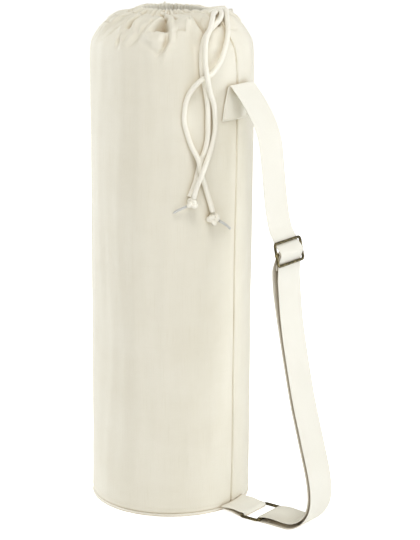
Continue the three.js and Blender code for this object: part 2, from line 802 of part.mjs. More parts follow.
function roundedWire(spanAcross, spanAlong, wire) {
  const corners = [
    { across: 1, along: 1, from: 0 },
    { across: -1, along: 1, from: 90 },
    { across: -1, along: -1, from: 180 },
    { across: 1, along: -1, from: 270 },
  ];
  const sections = [];
  for (const corner of corners) {
    for (let step = 0; step <= 4; step += 1) {
      const turn = (corner.from + step * 22.5) * radians;
      const centreAcross = corner.across * (spanAcross / 2 - hardwareCornerRadius);
      const centreAlong = corner.along * (spanAlong / 2 - hardwareCornerRadius);
      const section = [];
      for (let side = 0; side < wireSides; side += 1) {
        const roll = ((side + 0.5) * 2 * Math.PI) / wireSides;
        const reach = hardwareCornerRadius + (wire / 2) * Math.cos(roll);
        section.push([
          centreAcross + reach * Math.cos(turn),
          centreAlong + reach * Math.sin(turn),
          (wire / 2) * Math.sin(roll),
        ]);
      }
      sections.push(section);
    }
  }
  return sectionSolid(sections, true);
}

function wireBar(length, wire) {
  return weldedGeometry(new THREE.CylinderGeometry(wire / 2, wire / 2, length, wireSides).rotateZ(Math.PI / 2));
}

const sliderSpan = hardwareInnerWidth + sliderWire;
const sliderFrame = toManifold(roundedWire(sliderSpan, sliderHeight - sliderWire, sliderWire));
const sliderBar = toManifold(wireBar(sliderSpan + sliderWire + 2 * barCollar, sliderBarWire));
const sliderGeometry = fromManifold(sliderFrame.add(sliderBar));
const ringGeometry = roundedWire(hardwareInnerWidth + ringWire, ringReach - ringWire, ringWire);

function addPiece(group, name, geometry, material) {
  const finished = geometry.index ? geometry.toNonIndexed() : geometry;
  finished.computeVertexNormals();
  const mesh = new THREE.Mesh(finished, material);
  mesh.name = name;
  group.add(mesh);
  return mesh;
}

const bag = new THREE.Group();
bag.name = 'yoga_mat_bag';
addPiece(bag, 'bag_body', bodyGeometry, canvas);
addPiece(bag, 'mouth_hem', hemGeometry, canvas);
addPiece(bag, 'base_disc', baseGeometry, canvas);
addPiece(bag, 'base_piping', pipingGeometry, canvas);
addPiece(bag, 'shoulder_strap', strapGeometry, webbing);
addPiece(bag, 'ring_tab', tabGeometry, webbing);
const slider = addPiece(bag, 'strap_slider', sliderGeometry, agedBrass);
slider.rotation.set(Math.PI / 2, 0, Math.PI / 2, 'ZYX');
const ring = addPiece(bag, 'base_ring', ringGeometry, agedBrass);
ring.rotation.z = Math.PI / 2;
ring.position.set((ringInnerBarX + ringOuterBarX) / 2, ringShiftY, ringBarLift);
addPiece(bag, 'drawcord', cordTube(hiddenCordRoute(), cordDiameter), cordCotton);
addPiece(bag, 'cord_front', cordTube(strandRoute(buttonholes[0], frontStrandRoute), cordDiameter), cordCotton);
addPiece(bag, 'cord_middle', cordTube(strandRoute(buttonholes[1], middleStrandRoute), cordDiameter), cordCotton);
addPiece(bag, 'cord_back', cordTube(strandRoute(buttonholes[2], backStrandRoute), cordDiameter), cordCotton);
addPiece(bag, 'knot_right', knotGeometry(rightKnot), cordCotton);
addPiece(bag, 'knot_left', knotGeometry(leftKnot), cordCotton);
addPiece(bag, 'tip_right', cordTube(rightTailRoute, cordTipDiameter), tipBinding);
addPiece(bag, 'tip_left', cordTube(leftTailRoute, cordTipDiameter), tipBinding);

// Stand the slider up: its width runs along Y and its height leans out at the bottom
const upAxis = new THREE.Vector3(-leanSine, 0, leanCosine);
const acrossAxis = new THREE.Vector3(0, 1, 0);
const outAxis = new THREE.Vector3().crossVectors(acrossAxis, upAxis);
slider.quaternion.setFromRotationMatrix(new THREE.Matrix4().makeBasis(acrossAxis, upAxis, outAxis));
slider.position.set(sliderCentreX, 0, sliderCentreZ);

export default bag;
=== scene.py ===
import math
import random
import bpy
import numpy as np
from mathutils import Matrix, Vector


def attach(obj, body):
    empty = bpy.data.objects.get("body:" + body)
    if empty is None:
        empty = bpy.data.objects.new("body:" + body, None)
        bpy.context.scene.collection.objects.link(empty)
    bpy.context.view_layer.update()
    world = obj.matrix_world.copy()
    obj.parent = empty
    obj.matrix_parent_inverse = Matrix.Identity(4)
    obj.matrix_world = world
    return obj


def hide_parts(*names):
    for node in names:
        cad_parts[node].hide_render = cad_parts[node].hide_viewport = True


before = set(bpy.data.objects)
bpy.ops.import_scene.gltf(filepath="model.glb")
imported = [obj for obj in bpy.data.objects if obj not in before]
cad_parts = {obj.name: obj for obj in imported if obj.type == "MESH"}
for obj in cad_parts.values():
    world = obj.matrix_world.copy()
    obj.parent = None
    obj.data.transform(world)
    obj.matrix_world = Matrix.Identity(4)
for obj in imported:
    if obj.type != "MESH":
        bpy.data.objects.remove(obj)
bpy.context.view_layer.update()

# Yoga mat bag. Lengths are in millimetres and become metres when a piece is made.
# +Z runs up the bag and +X points out through the side seam and the shoulder strap.
mm = 0.001
print("frame loaded:", len(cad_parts), "nodes")


# Camera at the photograph's viewing angle

cameraView = {
    "place": (1582.8, -2062.7, 998.8),
    "heading": 36.352,
    "tilt": 14.758,
    "roll": 0.455,
    "lens": 132.86,
    "sensor": 36.0,
}


def makeCamera(view):
    data = bpy.data.cameras.new("product camera")
    data.sensor_fit = "VERTICAL"
    data.sensor_height = view["sensor"]
    data.lens = view["lens"]
    data.clip_start = 0.05
    data.clip_end = 50.0
    camera = bpy.data.objects.new("product camera", data)
    turn = Matrix.Rotation(math.radians(view["heading"]), 4, "Z")
    lean = Matrix.Rotation(math.radians(90.0 - view["tilt"]), 4, "X")
    roll = Matrix.Rotation(math.radians(view["roll"]), 4, "Z")
    camera.matrix_world = Matrix.Translation(Vector(view["place"]) * mm) @ turn @ lean @ roll
    bpy.context.scene.collection.objects.link(camera)
    bpy.context.scene.camera = camera
    return camera


makeCamera(cameraView)
print("camera placed")


# Small tools for points and meshes

def blend(first, second, share):
    return first + (second - first) * share


def smoothShare(value):
    share = np.clip(value, 0.0, 1.0)
    return share * share * (3.0 - 2.0 * share)


def bell(distance):
    return np.exp(-2.0 * distance * distance)


def turnGap(angles, middle):
    # signed difference of two angles in degrees
    return (angles - middle + 540.0) % 360.0 - 180.0


def ringPoints(turns, reach, height, centre=(0.0, 0.0)):
    # points at angles in radians about an upright line
    x, y = centre[0] + reach * np.cos(turns), centre[1] + reach * np.sin(turns)
    return np.stack([x, y, np.broadcast_to(height, np.shape(x))], axis=-1)


def runLengths(path):
    # distance from the start for every point of a path
    steps = np.linalg.norm(np.diff(path[:, :3], axis=0), axis=1)
    return np.concatenate([[0.0], np.cumsum(steps)])


def smoothPath(points, perSpan=12):
    # centripetal curve through the points; columns after the first three are carried along
    rows = [np.asarray(point, float) for point in points]
    rows = [2 * rows[0] - rows[1]] + rows + [2 * rows[-1] - rows[-2]]
    path = []
    for p0, p1, p2, p3 in zip(rows, rows[1:], rows[2:], rows[3:]):
        k1 = max(1e-9, np.linalg.norm(p1[:3] - p0[:3])) ** 0.5
        k2 = k1 + max(1e-9, np.linalg.norm(p2[:3] - p1[:3])) ** 0.5
        k3 = k2 + max(1e-9, np.linalg.norm(p3[:3] - p2[:3])) ** 0.5
        for step in range(perSpan):
            t = blend(k1, k2, step / perSpan)
            a1 = blend(p0, p1, t / k1)
            a2 = blend(p1, p2, (t - k1) / (k2 - k1))
            a3 = blend(p2, p3, (t - k2) / (k3 - k2))
            b1 = blend(a1, a2, t / k2)
            b2 = blend(a2, a3, (t - k1) / (k3 - k1))
            path.append(blend(b1, b2, (t - k1) / (k2 - k1)))
    path.append(rows[-2])
    return np.array(path)


def evenPath(path, step):
    # the same path with points an even step apart
    along = runLengths(path)
    count = max(2, int(round(along[-1] / step)) + 1)
    places = np.linspace(0.0, along[-1], count)
    return np.stack([np.interp(places, along, path[:, k]) for k in range(path.shape[1])], axis=1)


def makePiece(name, shape, material, slot, *nodes):
    # one piece in place of the named nodes; its uvs are one pair for each face corner
    points, faces, uvs = shape
    mesh = bpy.data.meshes.new(name)
    mesh.from_pydata((np.asarray(points, float) * mm).tolist(), [], faces)
    mesh.materials.append(material)
    mesh.polygons.foreach_set("use_smooth", [True] * len(mesh.polygons))
    if uvs:
        layer = mesh.uv_layers.new(name="cloth")
        layer.data.foreach_set("uv", (np.asarray(uvs, float) * mm).ravel())
    mesh.update()
    piece = bpy.data.objects.new(name, mesh)
    bpy.context.scene.collection.objects.link(piece)
    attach(piece, "root")
    if nodes:
        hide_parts(*nodes)
    return piece


def gridFaces(rows, columns, closeRows=False, closeColumns=True):
    faces = []
    for row in range(rows if closeRows else rows - 1):
        below = row * columns
        above = ((row + 1) % rows) * columns
        for column in range(columns if closeColumns else columns - 1):
            side = (column + 1) % columns
            faces.append((below + column, below + side, above + side, above + column))
    return faces


def gridUvs(rows, columns, across, along, closeRows=False):
    # uv pairs for gridFaces with closed columns; across has columns + 1 places, along rows + 1
    uvs = []
    for row in range(rows if closeRows else rows - 1):
        for column in range(columns):
            left, right = across[column], across[column + 1]
            low, high = along[row], along[row + 1]
            uvs.extend([(left, low), (right, low), (right, high), (left, high)])
    return uvs


def pathFrames(path):
    # two crosswise directions for each point of the path, which don't twist along it
    path = path[:, :3]
    tangents = np.gradient(path, axis=0)
    tangents /= np.linalg.norm(tangents, axis=1)[:, None]
    side = np.cross(tangents[0], (0.0, 0.0, 1.0))
    if np.linalg.norm(side) < 1e-3:
        side = np.cross(tangents[0], (1.0, 0.0, 0.0))
    sides = []
    for tangent in tangents:
        side = side - tangent * np.dot(side, tangent)
        side = side / np.linalg.norm(side)
        sides.append(side)
    sides = np.array(sides)
    return sides, np.cross(tangents, sides)


def tubeMesh(path, radii, sides, relief=None):
    # a closed tube along the path; relief(turn, along) changes the radius
    across, up = pathFrames(path)
    along = runLengths(path)
    turns = np.arange(sides) * 2.0 * math.pi / sides
    radii = np.broadcast_to(np.asarray(radii, float), (len(path),))[:, None]
    spread = radii * (1.0 if relief is None else relief(turns[None, :], along[:, None]))
    ring = np.cos(turns)[None, :, None] * across[:, None, :] + np.sin(turns)[None, :, None] * up[:, None, :]
    points = (path[:, None, :3] + spread[:, :, None] * ring).reshape(-1, 3)
    points = np.concatenate([points, path[:1, :3], path[-1:, :3]])
    faces = gridFaces(len(path), sides)
    width = 2.0 * math.pi * float(radii.mean())
    uvs = gridUvs(len(path), sides, np.linspace(0.0, width, sides + 1), np.append(along, along[-1]))
    first, last, endRow = len(points) - 2, len(points) - 1, (len(path) - 1) * sides
    for side in range(sides):
        after = (side + 1) % sides
        faces.append((first, after, side))
        faces.append((last, endRow + side, endRow + after))
        uvs.extend([(0.0, 0.0)] * 6)
    return points, faces, uvs


def joinMeshes(parts):
    points, faces, uvs, offset = [], [], [], 0
    for partPoints, partFaces, partUvs in parts:
        points.append(partPoints)
        faces.extend(tuple(index + offset for index in face) for face in partFaces)
        uvs.extend(partUvs)
        offset += len(partPoints)
    return np.concatenate(points), faces, uvs


# Shader tools

class NodeDesk:
    # places nodes in a tree and wires them; numbers and sockets can be mixed
    def __init__(self, tree):
        self.tree = tree
        self.column = 0

    def add(self, kind, **settings):
        node = self.tree.nodes.new(kind)
        node.location = (self.column * 190 - 1200, 0)
        self.column += 1
        for key, value in settings.items():
            setattr(node, key, value)
        return node

    def feed(self, socket, value):
        if isinstance(value, bpy.types.NodeSocket):
            self.tree.links.new(value, socket)
        else:
            socket.default_value = value

    def math(self, operation, first, second=0.5, clamp=False):
        node = self.add("ShaderNodeMath", operation=operation, use_clamp=clamp)
        self.feed(node.inputs[0], first)
        self.feed(node.inputs[1], second)
        return node.outputs[0]

    def noise(self, coordinates, scale, detail=2.0, roughness=0.5):
        node = self.add("ShaderNodeTexNoise")
        self.feed(node.inputs["Vector"], coordinates)
        node.inputs["Scale"].default_value = scale
        node.inputs["Detail"].default_value = detail
        node.inputs["Roughness"].default_value = roughness
        return node.outputs["Fac"]

    def stretch(self, coordinates, scale):
        node = self.add("ShaderNodeVectorMath", operation="MULTIPLY")
        self.feed(node.inputs[0], coordinates)
        node.inputs[1].default_value = scale
        return node.outputs[0]

    def span(self, value, low, high, toLow=0.0, toHigh=1.0):
        node = self.add("ShaderNodeMapRange", clamp=True)
        self.feed(node.inputs["Value"], value)
        node.inputs["From Min"].default_value = low
        node.inputs["From Max"].default_value = high
        node.inputs["To Min"].default_value = toLow
        node.inputs["To Max"].default_value = toHigh
        return node.outputs[0]

    def mixColour(self, share, first, second):
        node = self.add("ShaderNodeMix", data_type="RGBA")
        self.feed(node.inputs[0], share)
        self.feed(node.inputs[6], first)
        self.feed(node.inputs[7], second)
        return node.outputs[2]


def newGroup(name, inputs, outputs):
    group = bpy.data.node_groups.new(name, "ShaderNodeTree")
    for label, kind, value in inputs:
        socket = group.interface.new_socket(label, in_out="INPUT", socket_type=kind)
        if value is not None:
            socket.default_value = value
    for label, kind in outputs:
        group.interface.new_socket(label, in_out="OUTPUT", socket_type=kind)
    desk = NodeDesk(group)
    return group, desk, desk.add("NodeGroupInput"), desk.add("NodeGroupOutput")


def makeWeaveGroup():
    # plain weave: warp and weft pass over each other in turn, with thick and thin threads; the gap output
    # marks the low places between threads for painted shade
    group, desk, given, result = newGroup(
        "plain weave",
        [("Coordinates", "NodeSocketVector", None), ("Warp pitch", "NodeSocketFloat", 0.6),
         ("Weft pitch", "NodeSocketFloat", 0.6), ("Unevenness", "NodeSocketFloat", 0.4)],
        [("Height", "NodeSocketFloat"), ("Gap shade", "NodeSocketFloat")],
    )
    parts = desk.add("ShaderNodeSeparateXYZ")
    desk.feed(parts.inputs[0], given.outputs["Coordinates"])
    waves = []
    for axis, pitch in ((0, "Warp pitch"), (1, "Weft pitch")):
        drift = desk.noise(given.outputs["Coordinates"], 90.0, 2.0)
        drift = desk.math("MULTIPLY", desk.math("SUBTRACT", drift, 0.5), given.outputs["Unevenness"])
        place = desk.math("MULTIPLY", parts.outputs[axis], 1000.0)
        place = desk.math("DIVIDE", place, given.outputs[pitch])
        place = desk.math("MULTIPLY", desk.math("ADD", place, drift), math.pi)
        waves.append(desk.math("SINE", place))
    over = desk.math("MULTIPLY", desk.math("MULTIPLY", waves[0], waves[1]), 1.6)
    over = desk.math("ADD", desk.math("MULTIPLY", over, 0.5), 0.5, clamp=True)
    under = desk.math("SUBTRACT", 1.0, over)
    warp = desk.math("MULTIPLY", desk.math("ABSOLUTE", waves[0]), over)
    weft = desk.math("MULTIPLY", desk.math("ABSOLUTE", waves[1]), under)
    height = desk.math("ADD", warp, weft)
    desk.feed(result.inputs["Height"], height)
    desk.feed(result.inputs["Gap shade"], desk.span(height, 0.55, 0.15))
    return group


def makeClothToneGroup():
    # soft unevenness of undyed cotton: drifting tone, slubs along both threads and a few seed flecks
    group, desk, given, result = newGroup(
        "undyed cotton tone",
        [("Coordinates", "NodeSocketVector", None), ("Light", "NodeSocketColor", (0.86, 0.83, 0.74, 1)),
         ("Shade", "NodeSocketColor", (0.76, 0.71, 0.58, 1)),
         ("Fleck", "NodeSocketColor", (0.45, 0.34, 0.2, 1)),
         ("Slubs", "NodeSocketFloat", 0.5), ("Flecks", "NodeSocketFloat", 0.5)],
        [("Color", "NodeSocketColor"), ("Slub", "NodeSocketFloat")],
    )
    where = given.outputs["Coordinates"]
    drift = desk.span(desk.noise(where, 14.0, 3.0, 0.6), 0.3, 0.7)
    upright = desk.span(desk.noise(desk.stretch(where, (900.0, 22.0, 1.0)), 1.0, 2.0), 0.56, 0.78)
    level = desk.span(desk.noise(desk.stretch(where, (30.0, 1100.0, 1.0)), 1.0, 2.0), 0.58, 0.8)
    slub = desk.math("MAXIMUM", upright, desk.math("MULTIPLY", level, 0.7))
    share = desk.math("MULTIPLY", slub, given.outputs["Slubs"])
    share = desk.math("ADD", share, desk.math("MULTIPLY", drift, 0.35), clamp=True)
    tone = desk.mixColour(share, given.outputs["Light"], given.outputs["Shade"])
    dots = desk.add("ShaderNodeTexVoronoi")
    desk.feed(dots.inputs["Vector"], desk.stretch(where, (160.0, 90.0, 1.0)))
    fleck = desk.span(dots.outputs["Distance"], 0.06, 0.02)
    rare = desk.span(desk.noise(where, 60.0, 1.0), 0.58, 0.62)
    fleck = desk.math("MULTIPLY", desk.math("MULTIPLY", fleck, rare), given.outputs["Flecks"])
    desk.feed(result.inputs["Color"], desk.mixColour(fleck, tone, given.outputs["Fleck"]))
    desk.feed(result.inputs["Slub"], slub)
    return group


def makeTwistGroup():
    # slanting plies of a cord or thread, from coordinates that run round it and along it; the gap output
    # marks the grooves between plies for painted shade
    group, desk, given, result = newGroup(
        "slanting plies",
        [("Coordinates", "NodeSocketVector", None), ("Pitch", "NodeSocketFloat", 1.4),
         ("Slant", "NodeSocketFloat", 0.8)],
        [("Height", "NodeSocketFloat"), ("Gap shade", "NodeSocketFloat")],
    )
    parts = desk.add("ShaderNodeSeparateXYZ")
    desk.feed(parts.inputs[0], desk.stretch(given.outputs["Coordinates"], (1000.0, 1000.0, 1.0)))
    heights = []
    for sign in (1.0, -1.0):
        lean = desk.math("MULTIPLY", parts.outputs[0], desk.math("MULTIPLY", given.outputs["Slant"], sign))
        place = desk.math("DIVIDE", desk.math("ADD", parts.outputs[1], lean), given.outputs["Pitch"])
        heights.append(desk.math("ABSOLUTE", desk.math("SINE", desk.math("MULTIPLY", place, math.pi))))
    height = desk.math("MAXIMUM", heights[0], heights[1])
    desk.feed(result.inputs["Height"], height)
    desk.feed(result.inputs["Gap shade"], desk.span(height, 0.75, 0.45))
    return group


weaveGroup = makeWeaveGroup()
clothToneGroup = makeClothToneGroup()
twistGroup = makeTwistGroup()


def newMaterial(name):
    material = bpy.data.materials.new(name)
    material.use_nodes = True
    tree = material.node_tree
    tree.nodes.clear()
    desk = NodeDesk(tree)
    shader = desk.add("ShaderNodeBsdfPrincipled")
    output = desk.add("ShaderNodeOutputMaterial")
    tree.links.new(shader.outputs["BSDF"], output.inputs["Surface"])
    return material, desk, shader


def placeGroup(desk, group, **values):
    node = desk.add("ShaderNodeGroup")
    node.node_tree = group
    for label, value in values.items():
        desk.feed(node.inputs[label.replace("_", " ")], value)
    return node


def addBump(desk, shader, height, strength, distance):
    bump = desk.add("ShaderNodeBump")
    bump.inputs["Strength"].default_value = strength
    bump.inputs["Distance"].default_value = distance * mm
    desk.feed(bump.inputs["Height"], height)
    desk.feed(shader.inputs["Normal"], bump.outputs["Normal"])


# painted shade in folds: how far ambient occlusion looks, where the shade starts and ends, and the brownish
# colour it mixes in
creaseShadeLook = {"reach": 16.0, "samples": 8, "open": 0.78, "closed": 0.15, "shadeBrown": (0.5, 0.37, 0.2, 1)}


def paintedCreaseShade(desk, colour, strength):
    # painted shade: the cotton colour is mixed towards a darker brownish colour inside folds and under the
    # cords, where ambient occlusion finds cloth close by
    closeness = desk.add("ShaderNodeAmbientOcclusion", samples=creaseShadeLook["samples"])
    closeness.inputs["Distance"].default_value = creaseShadeLook["reach"] * mm
    depth = desk.span(closeness.outputs["AO"], creaseShadeLook["open"], creaseShadeLook["closed"])
    return desk.mixColour(desk.math("MULTIPLY", depth, strength), colour, creaseShadeLook["shadeBrown"])


def clothMaterial(name, look):
    material, desk, shader = newMaterial(name)
    where = desk.add("ShaderNodeUVMap", uv_map="cloth").outputs["UV"]
    weave = placeGroup(desk, weaveGroup, Coordinates=where, Warp_pitch=look["warpPitch"],
                       Weft_pitch=look["weftPitch"], Unevenness=look["unevenness"])
    tone = placeGroup(desk, clothToneGroup, Coordinates=where, Light=look["light"], Shade=look["shade"],
                      Slubs=look["slubs"], Flecks=look["flecks"])
    # painted shade: the gap colour darkens the low places between the threads
    gap = desk.math("MULTIPLY", weave.outputs["Gap shade"], look["gapShadeStrength"])
    cotton = desk.mixColour(gap, tone.outputs["Color"], look["gap"])
    # the base colour carries painted shade that darkens the folds and the cloth under the cords
    desk.feed(shader.inputs["Base Color"], paintedCreaseShade(desk, cotton, look["creaseShade"]))
    desk.feed(shader.inputs["Roughness"], desk.span(tone.outputs["Slub"], 0.0, 1.0, 0.93, 0.84))
    lift = desk.math("MULTIPLY", tone.outputs["Slub"], 0.6)
    height = desk.math("ADD", weave.outputs["Height"], lift)
    addBump(desk, shader, height, look["bump"], look["bumpDepth"])
    shader.inputs["Sheen Weight"].default_value = look["sheen"]
    shader.inputs["Sheen Roughness"].default_value = 0.6
    shader.inputs["Specular IOR Level"].default_value = 0.25
    return material


# painted shade in the cloth looks: one share sets how strongly the folds are darkened, and the gap colour
# darkens the low places between threads
canvasLook = {
    "warpPitch": 0.62, "weftPitch": 0.7, "unevenness": 0.5, "bump": 0.55, "bumpDepth": 0.22,
    "light": (0.855, 0.825, 0.715, 1), "shade": (0.755, 0.71, 0.575, 1), "gap": (0.52, 0.45, 0.32, 1),
    "gapShadeStrength": 0.28, "slubs": 0.38, "flecks": 0.5, "sheen": 0.12, "creaseShade": 0.6,
}
pipingLook = dict(canvasLook, light=(0.9, 0.87, 0.77, 1), shade=(0.82, 0.78, 0.66, 1), creaseShade=0.3)
webbingLook = {
    "warpPitch": 0.95, "weftPitch": 1.5, "unevenness": 0.25, "bump": 0.7, "bumpDepth": 0.3,
    "light": (0.88, 0.86, 0.77, 1), "shade": (0.81, 0.78, 0.67, 1), "gap": (0.62, 0.57, 0.45, 1),
    "gapShadeStrength": 0.3, "slubs": 0.2, "flecks": 0.15, "sheen": 0.15, "creaseShade": 0.5,
}
# the gap colour of cord, thread and tip binding is painted shade between plies and windings
cordLook = {
    "pitch": 2.1, "slant": 0.75, "light": (0.94, 0.915, 0.82, 1), "shade": (0.87, 0.83, 0.71, 1),
    "gap": (0.6, 0.52, 0.38, 1), "gapShadeStrength": 0.35, "bumpDepth": 0.35,
}
threadLook = dict(cordLook, pitch=0.5, light=(0.85, 0.81, 0.7, 1), bumpDepth=0.1, gapShadeStrength=0.2)
tipLook = dict(cordLook, pitch=0.7, slant=0.12, light=(0.66, 0.66, 0.64, 1), shade=(0.52, 0.51, 0.48, 1),
               gap=(0.34, 0.33, 0.3, 1), bumpDepth=0.15)


def cordMaterial(name, look):
    material, desk, shader = newMaterial(name)
    where = desk.add("ShaderNodeUVMap", uv_map="cloth").outputs["UV"]
    plies = placeGroup(desk, twistGroup, Coordinates=where, Pitch=look["pitch"], Slant=look["slant"])
    tone = placeGroup(desk, clothToneGroup, Coordinates=where, Light=look["light"], Shade=look["shade"],
                      Slubs=0.3, Flecks=0.0)
    # painted shade: the gap colour darkens the grooves between plies and windings
    gap = desk.math("MULTIPLY", plies.outputs["Gap shade"], look["gapShadeStrength"])
    desk.feed(shader.inputs["Base Color"], desk.mixColour(gap, tone.outputs["Color"], look["gap"]))
    fibres = desk.noise(desk.stretch(where, (2600.0, 900.0, 1.0)), 1.0, 3.0)
    height = desk.math("ADD", plies.outputs["Height"], desk.math("MULTIPLY", fibres, 0.35))
    addBump(desk, shader, height, 0.7, look["bumpDepth"])
    shader.inputs["Roughness"].default_value = 0.86
    shader.inputs["Sheen Weight"].default_value = 0.2
    shader.inputs["Specular IOR Level"].default_value = 0.25
    return material


def brassMaterial(name):
    # dark aged brass, brighter where edges and high spots are rubbed
    material, desk, shader = newMaterial(name)
    place = desk.add("ShaderNodeTexCoord").outputs["Object"]
    edges = desk.add("ShaderNodeNewGeometry").outputs["Pointiness"]
    patchy = desk.noise(place, 220.0, 4.0, 0.6)
    fine = desk.noise(place, 900.0, 3.0, 0.6)
    rubbed = desk.math("ADD", desk.span(edges, 0.495, 0.54), desk.span(patchy, 0.46, 0.64), clamp=True)
    rubbed = desk.math("MULTIPLY", rubbed, desk.span(fine, 0.35, 0.6), clamp=True)
    dark = desk.mixColour(fine, (0.05, 0.042, 0.022, 1), (0.13, 0.108, 0.06, 1))
    desk.feed(shader.inputs["Base Color"], desk.mixColour(rubbed, dark, (0.5, 0.41, 0.2, 1)))
    desk.feed(shader.inputs["Roughness"], desk.span(rubbed, 0.0, 1.0, 0.46, 0.24))
    shader.inputs["Metallic"].default_value = 1.0
    addBump(desk, shader, fine, 0.25, 0.12)
    return material


canvasCotton = clothMaterial("canvas cotton", canvasLook)
pipingCotton = clothMaterial("piping cotton", pipingLook)
webbingCotton = clothMaterial("webbing cotton", webbingLook)
cordCotton = cordMaterial("cord cotton", cordLook)
threadCotton = cordMaterial("sewing thread", threadLook)
tipBinding = cordMaterial("tip binding", tipLook)
agedBrass = brassMaterial("aged brass")
print("materials made")


# Bag sizes, the same as the solids that the frame holds

bagSize = {
    "radius": 107.5,
    "cloth": 1.6,
    "shoulderHeight": 606.0,
    "domeRise": 63.4,
    "crownRadius": 66.0,
    "crownShift": (5.6, 4.3),
    "mouthHalf": (34.0, 24.0),
    "mouthTurn": 37.5,
    "mouthShift": (-4.0, -0.5),
    "lobe": (22.0, 12.0, 36.0),
    "hemReach": 17.5,
    "hemDepth": 14.4,
    "hemGap": 0.9,
    "pipingDiameter": 4.7,
    "pieceGap": 0.3,
}
hemBottom = bagSize["shoulderHeight"] + bagSize["domeRise"] - bagSize["hemDepth"]
crownHeight = hemBottom + bagSize["hemDepth"] * 0.55
bodyBottom = bagSize["pipingDiameter"] + bagSize["pieceGap"]


def mouthRadius(angles):
    # an oval that runs out in a lobe where the cords leave it; angles in degrees
    turn = np.radians(angles - bagSize["mouthTurn"])
    wide, deep = bagSize["mouthHalf"]
    reach, middle, width = bagSize["lobe"]
    oval = 1.0 / np.hypot(np.cos(turn) / wide, np.sin(turn) / deep)
    return oval + reach * bell(turnGap(angles, middle) / width)


# Drawcord: routes in metres, as in the solids

cordDiameter = 6.5
tipDiameter = 3.4
buttonholeTilt = 27.0
buttonholeAngles = {"front": 5.0, "middle": 16.0, "back": 28.0}
tunnelHeight = hemBottom + 0.5 * bagSize["hemDepth"]
tunnelReach = 0.47 * bagSize["hemReach"]

frontStrand = [
    (0.0695, 0.0005, 0.668), (0.0755, -0.012, 0.6655), (0.085, -0.027, 0.6606), (0.094, -0.044, 0.652),
    (0.0988, -0.058, 0.641), (0.1005, -0.0625, 0.6245), (0.1035, -0.065, 0.608), (0.1075, -0.066, 0.5915),
    (0.105, -0.057, 0.5735), (0.1045, -0.0485, 0.557), (0.103, -0.044, 0.537), (0.1025, -0.0435, 0.5225),
    (0.1015, -0.047, 0.5075), (0.1015, -0.055, 0.491), (0.1055, -0.068, 0.4805), (0.1055, -0.0755, 0.4695),
    (0.098, -0.0755, 0.4535), (0.0931, -0.0747, 0.4392),
]
middleStrand = [
    (0.0705, 0.0115, 0.667), (0.0785, 0.0014, 0.6638), (0.085, -0.013, 0.659), (0.0872, -0.031, 0.6515),
    (0.0888, -0.0475, 0.642), (0.0922, -0.058, 0.6275), (0.094, -0.060, 0.5985), (0.096, -0.0565, 0.580),
    (0.0975, -0.054, 0.5635), (0.098, -0.0525, 0.5495), (0.098, -0.0525, 0.5315), (0.098, -0.0525, 0.517),
    (0.0965, -0.056, 0.499), (0.093, -0.061, 0.484), (0.0895, -0.0665, 0.4585), (0.0855, -0.0732, 0.4396),
]
backStrand = [
    (0.0685, 0.0245, 0.6676), (0.0775, 0.0145, 0.6632), (0.087, 0.0025, 0.6568), (0.096, -0.008, 0.6486),
    (0.1025, -0.018, 0.6395), (0.107, -0.029, 0.6275), (0.1085, -0.040, 0.613), (0.1065, -0.052, 0.600),
    (0.103, -0.059, 0.5945), (0.0985, -0.0655, 0.5915), (0.088, -0.0735, 0.578), (0.0815, -0.076, 0.5635),
    (0.0795, -0.078, 0.539), (0.082, -0.075, 0.522), (0.087, -0.072, 0.505), (0.096, -0.0695, 0.4885),
    (0.098, -0.067, 0.4725), (0.0985, -0.0605, 0.4585), (0.099, -0.0535, 0.4415), (0.102, -0.0495, 0.426),
    (0.1038, -0.0482, 0.4176),
]
rightTail = [(0.1086, -0.0403, 0.4053), (0.1105, -0.029, 0.3985), (0.1104, -0.019, 0.3915)]
leftTail = [(0.0845, -0.079, 0.4275), (0.078, -0.083, 0.424), (0.0712, -0.0866, 0.4195)]


def buttonholePoint(angle, distance):
    # distance out along the buttonhole from the middle of the hem tunnel
    turn = math.radians(angle)
    rise = math.radians(buttonholeTilt)
    reach = mouthRadius(angle) + tunnelReach + distance * math.cos(rise)
    return ringPoints(turn, reach, tunnelHeight + distance * math.sin(rise), bagSize["mouthShift"])


braid = {"pitch": 4.6, "plies": 8, "lowest": 0.975, "relief": 0.05}


def braidRelief(turn, along):
    # two families of slanting plies that cross, as on a braided cord
    around = 0.5 * braid["plies"] * turn
    slant = math.pi * along / braid["pitch"]
    crossing = np.maximum(np.abs(np.cos(around + slant)), np.abs(np.cos(around - slant)))
    return braid["lowest"] + braid["relief"] * crossing


def makeStrand(side, route):
    name = "drawcord_" + side + "_strand"
    angle = buttonholeAngles[side]
    start = [buttonholePoint(angle, 1.0), buttonholePoint(angle, bagSize["hemReach"] * 0.5)]
    points = start + [np.array(point) / mm for point in route]
    path = evenPath(smoothPath(points), 0.9)
    shape = tubeMesh(path, cordDiameter / 2, 20, braidRelief)
    piece = makePiece(name, shape, cordCotton, "cord_cotton", "cord_" + side)


# Knots: one closed loop of cord laid as an overhand knot, squeezed to the knot's size

knottedRadius = 3.0
knots = {
    "right": {"centre": (104.4, -47.6, 408.6), "half": (8.8, 8.4, 7.0), "turn": -24.0, "spin": 20.0},
    "left": {"centre": (90.2, -74.4, 431.6), "half": (8.0, 7.4, 7.0), "turn": -40.0, "spin": 65.0},
}


